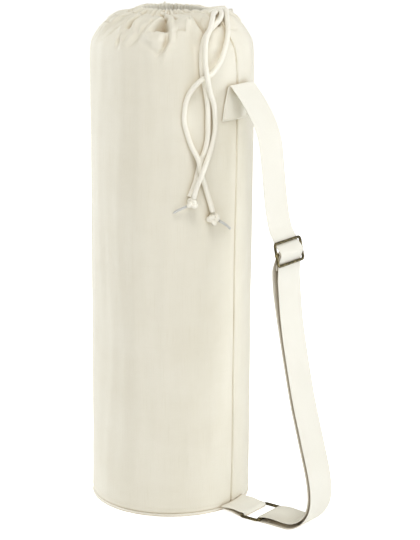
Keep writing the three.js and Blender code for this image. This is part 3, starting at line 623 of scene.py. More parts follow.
def knotMesh(knot):
    turns = np.linspace(0.0, 2.0 * math.pi, 181)
    wide = np.sin(turns) + 2.0 * np.sin(2.0 * turns)
    high = np.cos(turns) - 2.0 * np.cos(2.0 * turns)
    deep = -np.sin(3.0 * turns)
    spin = math.radians(knot["spin"])
    across = wide * math.cos(spin) - high * math.sin(spin)
    upward = wide * math.sin(spin) + high * math.cos(spin)
    halfWide, halfHigh, halfDeep = [half - knottedRadius for half in knot["half"]]
    across = across / np.abs(across).max() * halfWide
    upward = upward / np.abs(upward).max() * halfHigh
    deep = deep * halfDeep
    facing = math.radians(knot["turn"] + 90.0)
    x = knot["centre"][0] + across * math.cos(facing) - deep * math.sin(facing)
    y = knot["centre"][1] + across * math.sin(facing) + deep * math.cos(facing)
    path = evenPath(np.stack([x, y, knot["centre"][2] + upward], axis=1), 0.6)
    return tubeMesh(path, knottedRadius, 20, braidRelief)


def tipMesh(tail):
    # wound thread over a thin cord end, with a slightly flared tuft
    path = evenPath(smoothPath([np.array(point) / mm for point in tail]), 0.25)
    share = np.linspace(0.0, 1.0, len(path))
    radius = tipDiameter / 2
    flare = 0.1 * smoothShare((share - 0.9) / 0.1)
    taper = 0.12 * smoothShare((share - 0.55) / 0.3)
    radii = radius * (1.0 + flare - taper)

    def windings(turn, along):
        return 1.0 + 0.05 * np.cos(2.0 * math.pi * along / 0.9 + turn)

    parts = [tubeMesh(path, radii, 14, windings)]
    fray = random.Random(7)
    end, direction = path[-1], path[-1] - path[-6]
    direction = direction / np.linalg.norm(direction)
    for _ in range(14):
        spread = np.array([fray.uniform(-1, 1) for _ in range(3)])
        start = end + spread * radius * 0.45 - direction * 0.6
        stop = start + (direction * 2.0 + spread * 0.7) * fray.uniform(0.7, 1.1)
        fibre = np.stack([start, blend(start, stop, 0.5) + spread * 0.15, stop])
        parts.append(tubeMesh(fibre, 0.16, 5))
    return joinMeshes(parts)


def makeCords():
    ends = {}
    for side, knot in knots.items():
        made = makePiece("overhand_knot_" + side, knotMesh(knot), cordCotton, "cord_cotton", "knot_" + side)
        ends[side] = [made]
    for side, tail in (("right", rightTail), ("left", leftTail)):
        made = makePiece("bound_tip_" + side, tipMesh(tail), tipBinding, "tip_binding", "tip_" + side)
        ends[side].append(made)
    makeStrand("front", frontStrand)
    makeStrand("middle", middleStrand)
    makeStrand("back", backStrand)


def makeHiddenCord():
    angles = np.linspace(buttonholeAngles["back"] + 9.0, buttonholeAngles["front"] + 351.0, 120)
    reach = mouthRadius(angles) + tunnelReach
    path = ringPoints(np.radians(angles), reach, tunnelHeight, bagSize["mouthShift"])
    shape = tubeMesh(path, cordDiameter / 2, 12)
    makePiece("drawcord_in_hem", shape, cordCotton, "cord_cotton", "drawcord")


makeCords()
makeHiddenCord()
print("drawcord laid")


# Bag cloth. Folds are laid as short lines on the dome: angle in degrees about the mouth, reach from
# 0 at the side to 1 at the rim (more over the rim), half width and depth in millimetres.

shoulderOutline = [
    # reach, rise
    (0.0, 0.0), (0.012, 0.17), (0.055, 0.36), (0.145, 0.48), (0.25, 0.6),
    (0.41, 0.735), (0.62, 0.86), (0.82, 0.945), (1.0, 1.0),
]
rimOutline = [
    # out, up, reach
    (1.0, 0.58, 1.14), (0.76, 0.8, 1.18), (0.5, 0.95, 1.24), (0.22, 1.0, 1.32), (0.03, 0.9, 1.4),
    (-0.02, 0.5, 1.5), (0.06, 0.14, 1.6), (0.32, 0.0, 1.66),
]

domeFolds = [
    {"kind": "valley", "sharp": 2.4, "line": [
        (-67, 1.3, 2.4, 3.0), (-65.5, 0.98, 2.6, 5.5), (-65, 0.75, 4.5, 9.0), (-63.5, 0.57, 7.0, 11.0),
        (-62.5, 0.45, 9.0, 9.0), (-62.3, 0.39, 9.5, 0.0)]},
    {"kind": "ridge", "sharp": 2.0, "line": [
        (-60, 1.2, 3.0, 0.8), (-56, 0.7, 3.5, 2.4), (-53, 0.36, 4.0, 3.0), (-53.5, 0.19, 4.0, 2.4),
        (-56, 0.06, 4.0, 1.6), (-60, 0.0, 4.0, 0.2)]},
    {"kind": "valley", "sharp": 1.6, "line": [
        (-56.5, 0.34, 2.4, 1.2), (-56.6, 0.2, 2.6, 3.0), (-58.5, 0.07, 2.6, 3.0), (-62, 0.03, 3.0, 2.0),
        (-67, 0.07, 3.5, 0.8), (-71, 0.16, 4.0, 0.2)]},
    {"kind": "ridge", "sharp": 2.0, "line": [
        (-71, 0.95, 3.0, 1.0), (-71.5, 0.7, 3.5, 2.0), (-73, 0.45, 4.0, 2.6), (-74, 0.3, 4.5, 2.2),
        (-71, 0.18, 4.0, 0.8)]},
    {"kind": "valley", "sharp": 1.5, "line": [
        (-54, 1.35, 1.8, 2.0), (-55.5, 1.05, 2.0, 4.0), (-54, 0.95, 2.2, 2.6), (-51, 0.9, 2.0, 0.0)]},
    {"kind": "flap", "line": [
        (-44, 1.35, 4.0, 1.5), (-40, 1.05, 5.0, 4.0), (-37, 0.97, 6.0, 6.0), (-34.5, 0.75, 7.0, 8.0),
        (-31.5, 0.5, 7.0, 7.5), (-28.5, 0.36, 6.0, 4.5), (-26.5, 0.28, 5.0, 1.2), (-25.5, 0.2, 5.0, 0.0)]},
    {"kind": "ridge", "sharp": 2.0, "line": [
        (-27, 1.15, 3.0, 1.0), (-23.5, 0.93, 3.0, 2.0), (-19.5, 0.74, 3.2, 2.4), (-16, 0.6, 3.5, 0.6)]},
    {"kind": "flap", "line": [
        (-25, 1.2, 3.0, 1.5), (-21.5, 0.93, 3.5, 4.0), (-17, 0.78, 3.5, 4.5), (-13, 0.66, 4.0, 2.0),
        (-10, 0.56, 4.0, 0.0)]},
    {"kind": "ridge", "sharp": 2.0, "line": [
        (-20, 1.3, 3.0, 0.8), (-16, 1.0, 3.2, 1.8), (-11, 0.86, 3.5, 1.6), (-6, 0.7, 4.0, 0.2)]},
    {"kind": "valley", "sharp": 1.6, "line": [
        (-3, 0.56, 3.0, 0.0), (0, 0.45, 3.0, 1.6), (7, 0.4, 3.0, 1.6), (13, 0.38, 3.0, 0.0)]},
    {"kind": "backflap", "line": [
        (-112, 1.35, 4.0, 1.5), (-104, 0.95, 5.0, 3.6), (-100.5, 0.72, 6.0, 5.0), (-100, 0.5, 6.5, 5.2),
        (-104.5, 0.26, 6.0, 3.8), (-111, 0.14, 5.0, 2.0), (-116, 0.08, 5.0, 0.0)]},
    {"kind": "ridge", "sharp": 2.0, "line": [
        (-122, 1.1, 4.0, 0.8), (-118, 0.8, 4.5, 2.2), (-117, 0.5, 5.0, 2.6), (-121, 0.22, 5.0, 1.8),
        (-123, 0.05, 5.0, 0.4)]},
    {"kind": "valley", "sharp": 1.8, "line": [
        (-136, 1.3, 3.5, 1.5), (-129, 0.85, 4.0, 3.8), (-126, 0.5, 4.5, 3.8), (-127, 0.25, 4.5, 1.6),
        (-127, 0.1, 4.5, 0.0)]},
    {"kind": "valley", "sharp": 1.6, "line": [
        (-101, 1.25, 2.0, 1.5), (-96.5, 0.9, 2.4, 3.0), (-94.5, 0.65, 2.8, 3.8), (-92.3, 0.5, 3.2, 4.6),
        (-91.5, 0.42, 3.0, 0.4)]},
    {"kind": "ridge", "sharp": 2.0, "line": [
        (-93, 1.1, 3.5, 0.6), (-90, 0.8, 4.0, 1.6), (-88, 0.55, 4.5, 1.6), (-86, 0.36, 4.5, 0.4)]},
    {"kind": "ridge", "sharp": 2.0, "line": [
        (-98.5, 0.46, 2.0, 0.6), (-96.5, 0.3, 2.2, 1.7), (-97, 0.12, 2.2, 0.8), (-97, 0.05, 2.0, 0.0)]},
    {"kind": "ridge", "sharp": 2.0, "line": [
        (-95.5, 0.42, 2.0, 0.5), (-93.2, 0.22, 2.4, 1.9), (-90.5, 0.06, 2.4, 0.6)]},
    {"kind": "valley", "sharp": 1.8, "line": [
        (-94.8, 0.3, 2.0, 0.8), (-94.8, 0.16, 2.2, 1.6), (-94.0, 0.04, 2.4, 0.2)]},
    {"kind": "ridge", "sharp": 1.8, "line": [
        (-88, 0.13, 3.0, 0.8), (-85.5, 0.24, 3.0, 1.8), (-82.5, 0.36, 3.0, 0.6)]},
    {"kind": "valley", "sharp": 1.8, "line": [
        (-84.5, 0.1, 3.5, 0.8), (-80.5, 0.22, 3.5, 1.6), (-79, 0.4, 3.5, 0.3)]},
    {"kind": "valley", "sharp": 1.8, "line": [
        (-40, 0.55, 4.0, 0.0), (-38.5, 0.34, 5.0, 1.6), (-36, 0.14, 6.0, 2.2), (-36, 0.0, 7.0, 1.2)]},
    {"kind": "valley", "sharp": 2.0, "line": [
        (118, 1.3, 3.5, 2.0), (117, 0.9, 4.5, 5.0), (114, 0.6, 5.5, 6.0), (112, 0.35, 6.0, 1.0)]},
    {"kind": "flap", "line": [
        (66, 1.3, 4.0, 2.0), (66, 0.9, 5.0, 4.5), (64, 0.6, 6.0, 5.0), (60, 0.34, 6.0, 1.5),
        (58, 0.2, 6.0, 0.0)]},
    {"kind": "valley", "sharp": 1.7, "line": [
        (166, 1.3, 3.0, 2.0), (169, 0.85, 4.0, 4.0), (173, 0.5, 5.0, 4.5), (174, 0.3, 5.0, 0.4)]},
    {"kind": "backflap", "line": [
        (36, 1.3, 3.0, 1.5), (38, 0.9, 4.0, 3.5), (43, 0.6, 5.0, 4.0), (50, 0.35, 5.0, 0.5)]},
    {"kind": "valley", "sharp": 1.7, "line": [
        (92, 1.3, 3.0, 2.0), (91, 0.9, 3.5, 3.2), (88, 0.6, 4.0, 2.6), (86, 0.45, 4.0, 0.2)]},
    {"kind": "flap", "line": [
        (142, 1.3, 3.5, 1.5), (141, 0.9, 4.5, 4.0), (137, 0.55, 5.5, 4.4), (131, 0.28, 5.0, 0.6)]},
    {"kind": "valley", "sharp": 1.8, "line": [
        (-152, 1.3, 3.0, 1.5), (-150, 0.9, 4.0, 3.0), (-147, 0.6, 4.5, 3.0), (-145, 0.4, 4.5, 0.2)]},
    {"kind": "ridge", "sharp": 2.0, "line": [
        (103, 1.0, 4.0, 1.0), (101, 0.6, 5.0, 2.2), (99, 0.3, 5.0, 0.4)]},
    {"kind": "ridge", "sharp": 2.0, "line": [
        (153, 1.0, 4.0, 1.0), (154, 0.6, 5.0, 2.2), (155, 0.3, 5.0, 0.4)]},
]

# how far the folds stand out beside their table
foldStrength = 1.7

# pads of cloth that stand out: angle, reach, half width, half height, lift
domePads = [
    (-65.0, 0.24, 14.0, 12.5, 4.2),
    (-46.0, 0.62, 12.0, 20.0, 1.6),
    (-84.0, 0.62, 12.0, 16.0, 1.5),
    (78.0, 0.6, 14.0, 18.0, 2.0),
    (-165.0, 0.55, 14.0, 18.0, 1.8),
    (20.0, 0.6, 14.0, 18.0, 1.2),
]

# shallow dents of the straight side: angle, wide, height and tall as shares, depth
sideDents = [
    (-130, 26, 0.82, 0.2, 0.8), (-75, 30, 0.55, 0.3, -0.56), (-105, 22, 0.4, 0.3, 0.72),
    (-40, 16, 0.7, 0.22, 0.8), (-28, 14, 0.3, 0.25, 0.56), (60, 34, 0.5, 0.3, 0.96),
    (130, 30, 0.7, 0.25, 0.8), (165, 24, 0.3, 0.2, -0.64),
]

# small pleats, kept short where the photographed front is smooth; angles in degrees
gathers = {"count": 40, "depth": 2.3, "seed": 11, "frontFrom": -125.0, "frontTo": 25.0, "frontStart": 0.95}
seam = {
    "groove": 1.5, "grooveWidth": 0.55, "lift": 1.3, "lap": 8.0,
    # height and angle of the line
    "line": [(0, -3.0), (330, -2.2), (480, -1.2), (585, -0.9), (615, -2.6), (637, -4.5)],
}


def clothProfile():
    # rows of the outer cloth from the base to the inside of the mouth: radius about the bag, height,
    # reach, distance out from the mouth's edge, and share of the way from the crown to the hem
    radius, height, crown = bagSize["radius"], bagSize["shoulderHeight"], bagSize["crownRadius"]
    hemEdge = bagSize["hemReach"] + bagSize["hemGap"]
    dome = np.array([
        (blend(radius, crown, reach), 0.0, blend(height, crownHeight, rise), reach)
        for reach, rise in shoulderOutline
    ])
    dome = evenPath(smoothPath(dome, 16), 1.15)
    rim = np.array([
        (out * bagSize["hemReach"], 0.0, hemBottom + up * bagSize["hemDepth"], reach)
        for out, up, reach in rimOutline
    ])
    rim = evenPath(smoothPath(rim, 16), 0.9)
    base = [bodyBottom, bodyBottom + 0.8, bodyBottom + 2.0, bodyBottom + 4.0, bodyBottom + 7.0]
    # far apart on the plain side, closer below the shoulder where the seam line turns
    side = base + list(np.linspace(bodyBottom + 14.0, height - 46.0, 31))
    side += list(np.linspace(height - 36.0, height - 6.0, 4))
    rows = [(radius, z, 0.0, hemEdge, 0.0) for z in side]
    rows += [(row[0], row[2], row[3], hemEdge, 0.0) for row in dome]
    rows += [(crown, crownHeight + 0.8 * math.sin(share * math.pi), 1.0 + 0.12 * share, hemEdge, share)
             for share in np.linspace(0.0, 1.0, 17)[1:]]
    rows += [(crown, row[2], row[3], row[0], 1.0) for row in rim]
    return np.array(rows)


profile = clothProfile()
# over the hem the profile runs about a mouth of one middle radius
meanMouthRadius = 40.0
mouthPlaces = blend(profile[:, 0], meanMouthRadius + profile[:, 3], profile[:, 4])
flatRadius = np.where(profile[:, 4] > 0.0, mouthPlaces, profile[:, 0])
profileSlope = np.gradient(np.column_stack([flatRadius, profile[:, 1]]), axis=0)
profileSlope /= np.linalg.norm(profileSlope, axis=1)[:, None]
profileOut = np.column_stack([profileSlope[:, 1], -profileSlope[:, 0]])
profileSteps = np.hypot(np.diff(flatRadius), np.diff(profile[:, 1]))
profileAlong = np.concatenate([[0.0], np.cumsum(profileSteps)])
domeRows = profile[:, 2] > 0.0


def reachPlace(reach):
    # distance along the profile at a reach; a little below 0 runs down the side
    first = int(np.argmax(domeRows)) - 1
    if reach <= 0.0:
        return profileAlong[first] + reach * 60.0
    return float(np.interp(reach, profile[first:, 2], profileAlong[first:]))


def foldOffsets(angles, along, radii):
    # outward offset of every fold for points given by angle, place along the profile and radius
    total = np.zeros_like(angles)
    for fold in domeFolds:
        line = fold["line"]
        nearest = np.full_like(angles, 1e9)
        signed = np.zeros_like(angles)
        width = np.ones_like(angles)
        depth = np.zeros_like(angles)
        for (a1, r1, w1, d1), (a2, r2, w2, d2) in zip(line, line[1:]):
            firstX = np.radians(turnGap(a1, angles)) * radii
            secondX = np.radians(turnGap(a2, angles)) * radii
            firstY = reachPlace(r1) - along
            secondY = reachPlace(r2) - along
            stepX, stepY = secondX - firstX, secondY - firstY
            stepSquare = stepX ** 2 + stepY ** 2 + 1e-9
            share = np.clip(-(firstX * stepX + firstY * stepY) / stepSquare, 0.0, 1.0)
            nearX, nearY = firstX + share * stepX, firstY + share * stepY
            distance = np.hypot(nearX, nearY)
            closer = distance < nearest
            nearest = np.where(closer, distance, nearest)
            turnSign = np.sign(stepX * -nearY - stepY * -nearX)
            signed = np.where(closer, distance * turnSign, signed)
            width = np.where(closer, blend(w1, w2, share), width)
            depth = np.where(closer, blend(d1, d2, share), depth)
        if "sharp" in fold:
            sign = 1.0 if fold["kind"] == "ridge" else -1.0
            total += sign * depth * np.exp(-np.abs(nearest / width) ** fold["sharp"])
        else:
            side = signed if fold["kind"] == "flap" else -signed
            low = smoothShare((side + 0.9) / 1.8)
            raised = 0.38 * depth * np.exp(-np.abs(side / (2.2 * width)) ** 2.0)
            dropped = -0.75 * depth * np.exp(-np.abs(side / width) ** 2.0)
            total += blend(raised, dropped, low)
    for angle, reach, wide, tall, lift in domePads:
        x = np.radians(turnGap(angle, angles)) * radii / wide
        y = (reachPlace(reach) - along) / tall
        total += lift * (1.0 - smoothShare((np.hypot(x, y) - 0.35) / 0.8))
    return total * foldStrength


def gatherOffsets(angles, reach):
    # small pleats from the drawn rim, each fading out at its own place on the dome
    chance = random.Random(gathers["seed"])
    count = gathers["count"]
    total = np.zeros_like(angles)
    for index in range(count):
        centre = (index + chance.uniform(-0.3, 0.3)) * 360.0 / count
        start = chance.choice([0.4, 0.6, 0.8, 0.9, 0.95])
        depth = gathers["depth"] * chance.uniform(0.6, 1.3)
        width = 360.0 / count * chance.uniform(0.22, 0.36)
        drift = chance.uniform(-5.0, 5.0)
        if gathers["frontFrom"] < turnGap(centre, 0.0) < gathers["frontTo"]:
            start = max(start, gathers["frontStart"])
        apart = turnGap(angles - centre, drift * np.clip(1.0 - reach, 0.0, 1.0))
        grow = smoothShare((reach - start) / (1.18 - start))
        total -= depth * grow * np.exp(-np.abs(apart / width) ** 1.6)
    return total


def waveOffsets(angles, heights):
    # long soft wrinkles of the cloth
    turn = np.radians(angles)
    waves = 0.51 * np.sin(9.0 * turn + 0.006 * heights + 1.3 * np.sin(0.011 * heights))
    waves += 0.33 * np.sin(17.0 * turn - 0.009 * heights + 2.0)
    waves += 0.24 * np.sin(31.0 * turn + 1.7 * np.sin(0.016 * heights + 3.0 * turn))
    return waves + 0.375 * np.sin(4.0 * turn + 0.021 * heights) * np.sin(0.013 * heights + 1.0)


def dentOffsets(angles, heights):
    total = np.zeros_like(angles)
    for angle, wide, height, tall, depth in sideDents:
        across = turnGap(angles, angle) / wide
        along = (heights / bagSize["shoulderHeight"] - height) / tall
        total -= depth * bell(across) * bell(along)
    return total


def seamOffsets(angles, heights, radii, reach):
    # a lapped seam: a narrow groove with the front edge of the lap standing out beside it
    heightsAt, anglesAt = zip(*seam["line"])
    centre = np.interp(heights, heightsAt, anglesAt)
    apart = np.radians(turnGap(angles, centre)) * radii
    groove = -seam["groove"] * np.exp(-(apart / seam["grooveWidth"]) ** 2)
    lap = seam["lift"] * smoothShare((apart - 0.2) / 0.9) * (1.0 - smoothShare(apart / seam["lap"]))
    near = -0.5 * np.exp(-((apart + 1.6) / 1.8) ** 2)
    return (groove + lap + near) * (1.0 - smoothShare((reach - 0.5) / 0.4))


# the far side of the hem stands a little higher
hemRise = 0.6
hemRiseAngle = 130.0


def farSide(angles):
    return smoothShare((np.cos(np.radians(angles - hemRiseAngle)) + 0.15) / 0.75)


def clothPoints(angles, rows):
    # surface points for arrays of angles in degrees and row numbers, which may lie between rows
    index = np.arange(len(profile))
    radius, height, reach, outer, inward = [np.interp(rows, index, profile[:, k]) for k in range(5)]
    along = np.interp(rows, index, profileAlong)
    outX = np.interp(rows, index, profileOut[:, 0])
    outZ = np.interp(rows, index, profileOut[:, 1])
    inner = smoothShare((reach - 1.42) / 0.12)
    reachOut = blend(radius, mouthRadius(angles) + outer, inward)
    offset = foldOffsets(angles, along, reachOut) * (1.0 - smoothShare((reach - 1.14) / 0.2))
    offset += gatherOffsets(angles, reach)
    offset += dentOffsets(angles, height) * (1.0 - smoothShare(reach / 0.2))
    calm = (1.0 - 0.7 * smoothShare(reach / 0.3)) * smoothShare((height - 5.0) / 60.0)
    offset += waveOffsets(angles, height) * calm
    offset += seamOffsets(angles, height, radius, reach)
    offset -= 0.9 * np.exp(-(height - bodyBottom) / 2.2)
    lean = np.minimum(1.0, reach) ** 2
    turn = np.radians(angles)
    spread = reachOut + offset * outX * (1.0 - 0.2 * inner)
    height = height + hemRise * farSide(angles) * smoothShare(inward)
    centreX = blend(bagSize["crownShift"][0] * lean, bagSize["mouthShift"][0], inward)
    centreY = blend(bagSize["crownShift"][1] * lean, bagSize["mouthShift"][1], inward)
    return ringPoints(turn, spread, height + offset * outZ, (centreX, centreY))


def stitchRow(path, normals, length=2.8, gap=1.3, radius=0.34):
    # thread stitches along a path, each sunk at both ends and proud in the middle
    steps = runLengths(path)
    parts = []
    for start in np.arange(0.0, steps[-1] - length, length + gap):
        places = start + np.array([0.0, 0.25, 0.5, 0.75, 1.0]) * length
        centre = np.stack([np.interp(places, steps, path[:, k]) for k in range(3)], axis=1)
        facing = np.stack([np.interp(places, steps, normals[:, k]) for k in range(3)], axis=1)
        proud = np.array([-0.3, 0.12, 0.25, 0.12, -0.3])[:, None]
        parts.append(tubeMesh(centre + facing * proud, radius, 6))
    return joinMeshes(parts)


def clothLine(angles, row):
    # a line on the bag cloth with its outward directions
    points = clothPoints(angles, np.full_like(angles, row))
    turn = np.radians(angles)
    outX, outZ = profileOut[int(row)]
    return points, ringPoints(turn, outX, outZ)


def makeClothStitches():
    around = np.linspace(0.0, 360.0, 1441)
    baseRow = int(np.argmax(profile[:, 1] > bodyBottom + 6.5))
    hemRow = int(np.argmax(profile[:, 2] > 1.13))
    parts = [stitchRow(*clothLine(around, baseRow)), stitchRow(*clothLine(around, hemRow), 2.4, 1.2, 0.3)]
    seamRows = np.arange(baseRow, int(np.argmax(profile[:, 2] > 0.5)), 0.05)
    heights = np.interp(seamRows, np.arange(len(profile)), profile[:, 1])
    seamAngles = np.interp(heights, *zip(*seam["line"])) + 2.7
    facing = ringPoints(np.radians(seamAngles), 1.0, 0.0)
    parts.append(stitchRow(clothPoints(seamAngles, seamRows), facing, 2.6, 1.2, 0.28))
    makePiece("bag_cloth_stitches", joinMeshes(parts), threadCotton, "canvas")


def makeBagCloth():
    # columns stand closer along the side seam
    nearSeam = np.arange(354.5, 360.4, 0.22) % 360.0
    angles = np.unique(np.round(np.concatenate([np.arange(0.0, 360.0, 0.72), nearSeam]), 3))
    columns = len(angles)
    rows = len(profile)
    gridAngles = np.tile(angles, (rows, 1))
    gridRows = np.tile(np.arange(rows, dtype=float)[:, None], (1, columns))
    outer = clothPoints(gridAngles, gridRows)
    # the lining follows the outer cloth a little way in and closes the loop at the base
    liningRows = [int(row) for row in np.linspace(np.argmax(profile[:, 2] > 1.06), np.argmax(domeRows), 16)]
    liningRows += [int(row) for row in np.linspace(np.argmax(domeRows) - 6, 4, 8)] + [0]
    inset = bagSize["cloth"] + 0.4
    turn = np.radians(angles)
    lining = []
    for row in liningRows:
        outX, outZ = profileOut[row] * inset
        lining.append(outer[row] - ringPoints(turn, outX, outZ))
    points = np.concatenate([outer, np.array(lining)]).reshape(-1, 3)
    total = rows + len(liningRows)
    along = np.concatenate([profileAlong, profileAlong[-1] + np.arange(1, len(liningRows) + 2) * 8.0])
    across = np.radians(np.append(angles, 360.0)) * bagSize["radius"]
    faces = gridFaces(total, columns, closeRows=True)
    uvs = gridUvs(total, columns, across, along, closeRows=True)
    makePiece("bag_cloth", (points, faces, uvs), canvasCotton, "canvas", "bag_body", "mouth_hem")


makeBagCloth()
makeClothStitches()
print("bag cloth gathered and stitched")


# Base: piping and round bottom

def makeBase():
    radius = bagSize["pipingDiameter"] / 2
    ring = bagSize["radius"] - radius + 0.5
    turns = np.linspace(0.0, 2.0 * math.pi, 361)
    wobble = 0.15 * np.sin(23.0 * turns) + 0.12 * np.sin(41.0 * turns + 1.0)
    path = ringPoints(turns, ring + wobble, radius)
    piping = tubeMesh(path, radius - 0.06, 16)
    makePiece("base_piping_cord_edge", piping, pipingCotton, "canvas", "base_piping")
    rings, columns = 14, 160
    discRadius = ring - radius - bagSize["pieceGap"]
    angles = np.arange(columns) * 2.0 * math.pi / columns
    rows, along = [], []
    for side, height in ((0, 0.05), (1, 1.8)):
        for step in (range(1, rings + 1) if side == 0 else range(rings, 0, -1)):
            share = step / rings
            edge = smoothShare((share - 0.8) / 0.2)
            pucker = 0.25 * edge * np.sin(36.0 * angles) + 0.2 * (1.0 - share) * np.sin(3.0 * angles)
            swell = 0.3 * (1.0 - share ** 2) + np.abs(pucker) * (1.0 - share ** 8)
            level = height + swell * (1 if side == 0 else 0.6)
            rows.append(ringPoints(angles, discRadius * share, level))
            along.append(discRadius * (share if side == 0 else 2.0 - share))
    points = np.array(rows).reshape(-1, 3)
    faces = gridFaces(len(rows), columns)
    uvs = [(points[index][0], points[index][1]) for face in faces for index in face]
    low, high = tuple(range(columns))[::-1], tuple((len(rows) - 1) * columns + k for k in range(columns))
    for cap in (low, high):
        faces.append(cap)
        uvs.extend((points[index][0], points[index][1]) for index in cap)
    makePiece("round_base_cloth", (points, faces, uvs), canvasCotton, "canvas", "base_disc")


makeBase()
print("base closed")


# Webbing: shoulder strap and ring tab, along the same runs as the solids

webbing = {
    "width": 50.0, "thickness": 1.8, "patchBottom": 533.0, "patchTop": 573.0, "patchShift": -6.0,
    "patchGap": 0.8, "foldOverRadius": 3.4, "floorRunEndX": 212.0, "tabTailGap": 0.5,
}
hardware = {
    "sliderHeight": 33.0, "sliderWire": 3.6, "sliderBarWire": 3.2, "sliderLean": 13.3,
    "sliderCentre": (190.9, 369.3), "ringReach": 31.5, "ringWire": 4.0, "ringInnerBarX": 142.0,
    "sideGap": 1.8, "cornerRadius": 4.0, "ringShiftY": -3.0, "ringShiftHeight": 120.0,
}
upperRun = [
    (120.6, 571.8), (129.4, 562.2), (138.6, 550.6), (147.6, 536.8), (154.6, 522.4), (159.8, 505),
    (163.3, 481), (166.3, 455), (170.0, 428), (173.6, 409), (176.9, 397.5),
]
outerRun = [
    (191.4, 334), (193.0, 316), (195.2, 294), (198.8, 268), (204.6, 237), (211.3, 205), (218.5, 173),
    (226.9, 142), (235.3, 112), (244.6, 80), (248.4, 62), (249.6, 48), (248.8, 37), (245.4, 26.5),
    (239.4, 17), (231.4, 9), (222.0, 3.6),
]
innerRun = [
    (178, 9.2), (190, 9.8), (204, 8.8), (217, 9.2), (227.4, 13.2), (235.6, 20), (241.4, 29),
    (244.2, 38.6), (245.0, 48), (243.8, 61), (240.0, 79), (230.8, 110.6), (222.4, 140.8), (214.0, 172),
    (206.8, 204), (200.0, 236), (193.6, 267), (188.4, 293), (184.6, 316), (182.6, 334), (182.2, 348),
]


def station(x, z, bend=0.0, shift=0.0, lift=0.0):
    # x, an unused middle column that keeps paths flat, z, then bend, sideways shift and lift
    return (x, 0.0, z, bend, shift, lift)


def arcStations(centreX, centreZ, radius, fromAngle, toAngle, steps):
    angles = np.radians(np.linspace(fromAngle, toAngle, steps + 1))
    return [station(centreX + radius * math.cos(a), centreZ + radius * math.sin(a)) for a in angles]


def smoothRun(rows):
    path = evenPath(smoothPath([(x, 0.0, z) for x, z in rows]), 6.0)
    return [station(x, z) for x, z in path[:, [0, 2]]]


leanSine = math.sin(math.radians(hardware["sliderLean"]))
leanCosine = math.cos(math.radians(hardware["sliderLean"]))


def sliderPoint(up, out):
    centreX, centreZ = hardware["sliderCentre"]
    return station(centreX - up * leanSine + out * leanCosine, centreZ + up * leanCosine + out * leanSine)


def sliderArc(centreUp, radius, fromAngle, toAngle, steps):
    angles = np.radians(np.linspace(fromAngle, toAngle, steps + 1))
    return [sliderPoint(centreUp + radius * math.sin(a), radius * math.cos(a)) for a in angles]


def nearRing(stations):
    # the strap meets the ring a little off the middle of the bag
    rows = []
    for x, flat, z, bend, _, lift in stations:
        off = hardware["ringShiftY"] * (1.0 - float(smoothShare(z / hardware["ringShiftHeight"])))
        rows.append((x, flat, z, bend, off, lift))
    return rows


barSpan = (hardware["sliderHeight"] - hardware["sliderWire"]) / 2
webOffset = bagSize["pieceGap"] + webbing["thickness"] / 2
behindBar = hardware["sliderWire"] / 2 + webOffset
roundBar = hardware["sliderBarWire"] / 2 + webOffset
overLoop = roundBar + webbing["thickness"] + bagSize["pieceGap"]
crossAngle = math.degrees(math.asin((behindBar + overLoop) / barSpan))
ringBarLift = webbing["thickness"] + bagSize["pieceGap"] + hardware["ringWire"] / 2
ringOuterBarX = hardware["ringInnerBarX"] + hardware["ringReach"] - hardware["ringWire"]
roundRing = hardware["ringWire"] / 2 + webOffset
patchX = bagSize["radius"] + webbing["patchGap"] + webbing["thickness"] / 2


def strapStations():
    rows = []
    for share in (0.0, 0.25, 0.5, 0.75, 1.0):
        bend = float(patchBend(share))
        z = blend(webbing["patchBottom"], webbing["patchTop"], share)
        rows.append(station(patchX, z, bend, webbing["patchShift"] * (1.0 - share)))
    radius = webbing["foldOverRadius"]
    rows += arcStations(patchX + radius, webbing["patchTop"] + 2.5, radius, 180, 42, 10)
    rows += smoothRun(upperRun)
    rows += sliderArc(barSpan, behindBar, 158, 180 + crossAngle, 8)
    rows += sliderArc(0, overLoop, crossAngle, -crossAngle, 10)
    rows += sliderArc(-barSpan, behindBar, 180 - crossAngle, 190, 6)
    rows += nearRing(smoothRun(outerRun))
    floorZ = webbing["thickness"] / 2 + 0.05
    rows += nearRing([station(webbing["floorRunEndX"], floorZ),
                      station(blend(webbing["floorRunEndX"], ringOuterBarX, 0.5), floorZ)]
                     + arcStations(ringOuterBarX, ringBarLift, roundRing, 270, 90, 12))
    rows += nearRing(smoothRun(innerRun))
    rows += sliderArc(0, roundBar, 196, -52, 16)
    rows += [sliderPoint(-barSpan * 0.55, -1.6), sliderPoint(-barSpan * 0.9, -5.6),
             sliderPoint(-barSpan * 1.35, -7.2)]
    return rows


def tabStations():
    tabRootX = bagSize["radius"] + webbing["patchGap"] + 0.4
    lowZ = bodyBottom + webbing["thickness"] / 2 + 0.2
    highZ = lowZ + webbing["thickness"] + webbing["tabTailGap"]
    lift = 0.05
    ringX = hardware["ringInnerBarX"]
    rows = [
        station(tabRootX, lowZ, 1, 0.0, lift), station(tabRootX + 8, lowZ - 0.6, 0.75, 0.0, lift * 0.7),
        station(tabRootX + 18, lowZ - 2.2, 0.4, 0.0, lift * 0.3),
        station(ringX - 7, webbing["thickness"] / 2 + 0.5),
    ]
    rows += arcStations(ringX, ringBarLift, roundRing, 270, 450, 14)
    rows += [
        station(ringX - 7, ringBarLift + roundRing + 0.4),
        station(tabRootX + 18, highZ + 0.6, 0.4, 0.0, lift * 0.3),
        station(tabRootX + 8, highZ + 0.2, 0.75, 0.0, lift * 0.7), station(tabRootX, highZ, 1, 0.0, lift),
    ]
    return rows


def patchBend(share):
    # how far the strap's sewn end hugs the bag's round side, from its bottom edge to its top
    return 1.0 - smoothShare((share - 0.4) / 0.7) * 0.85


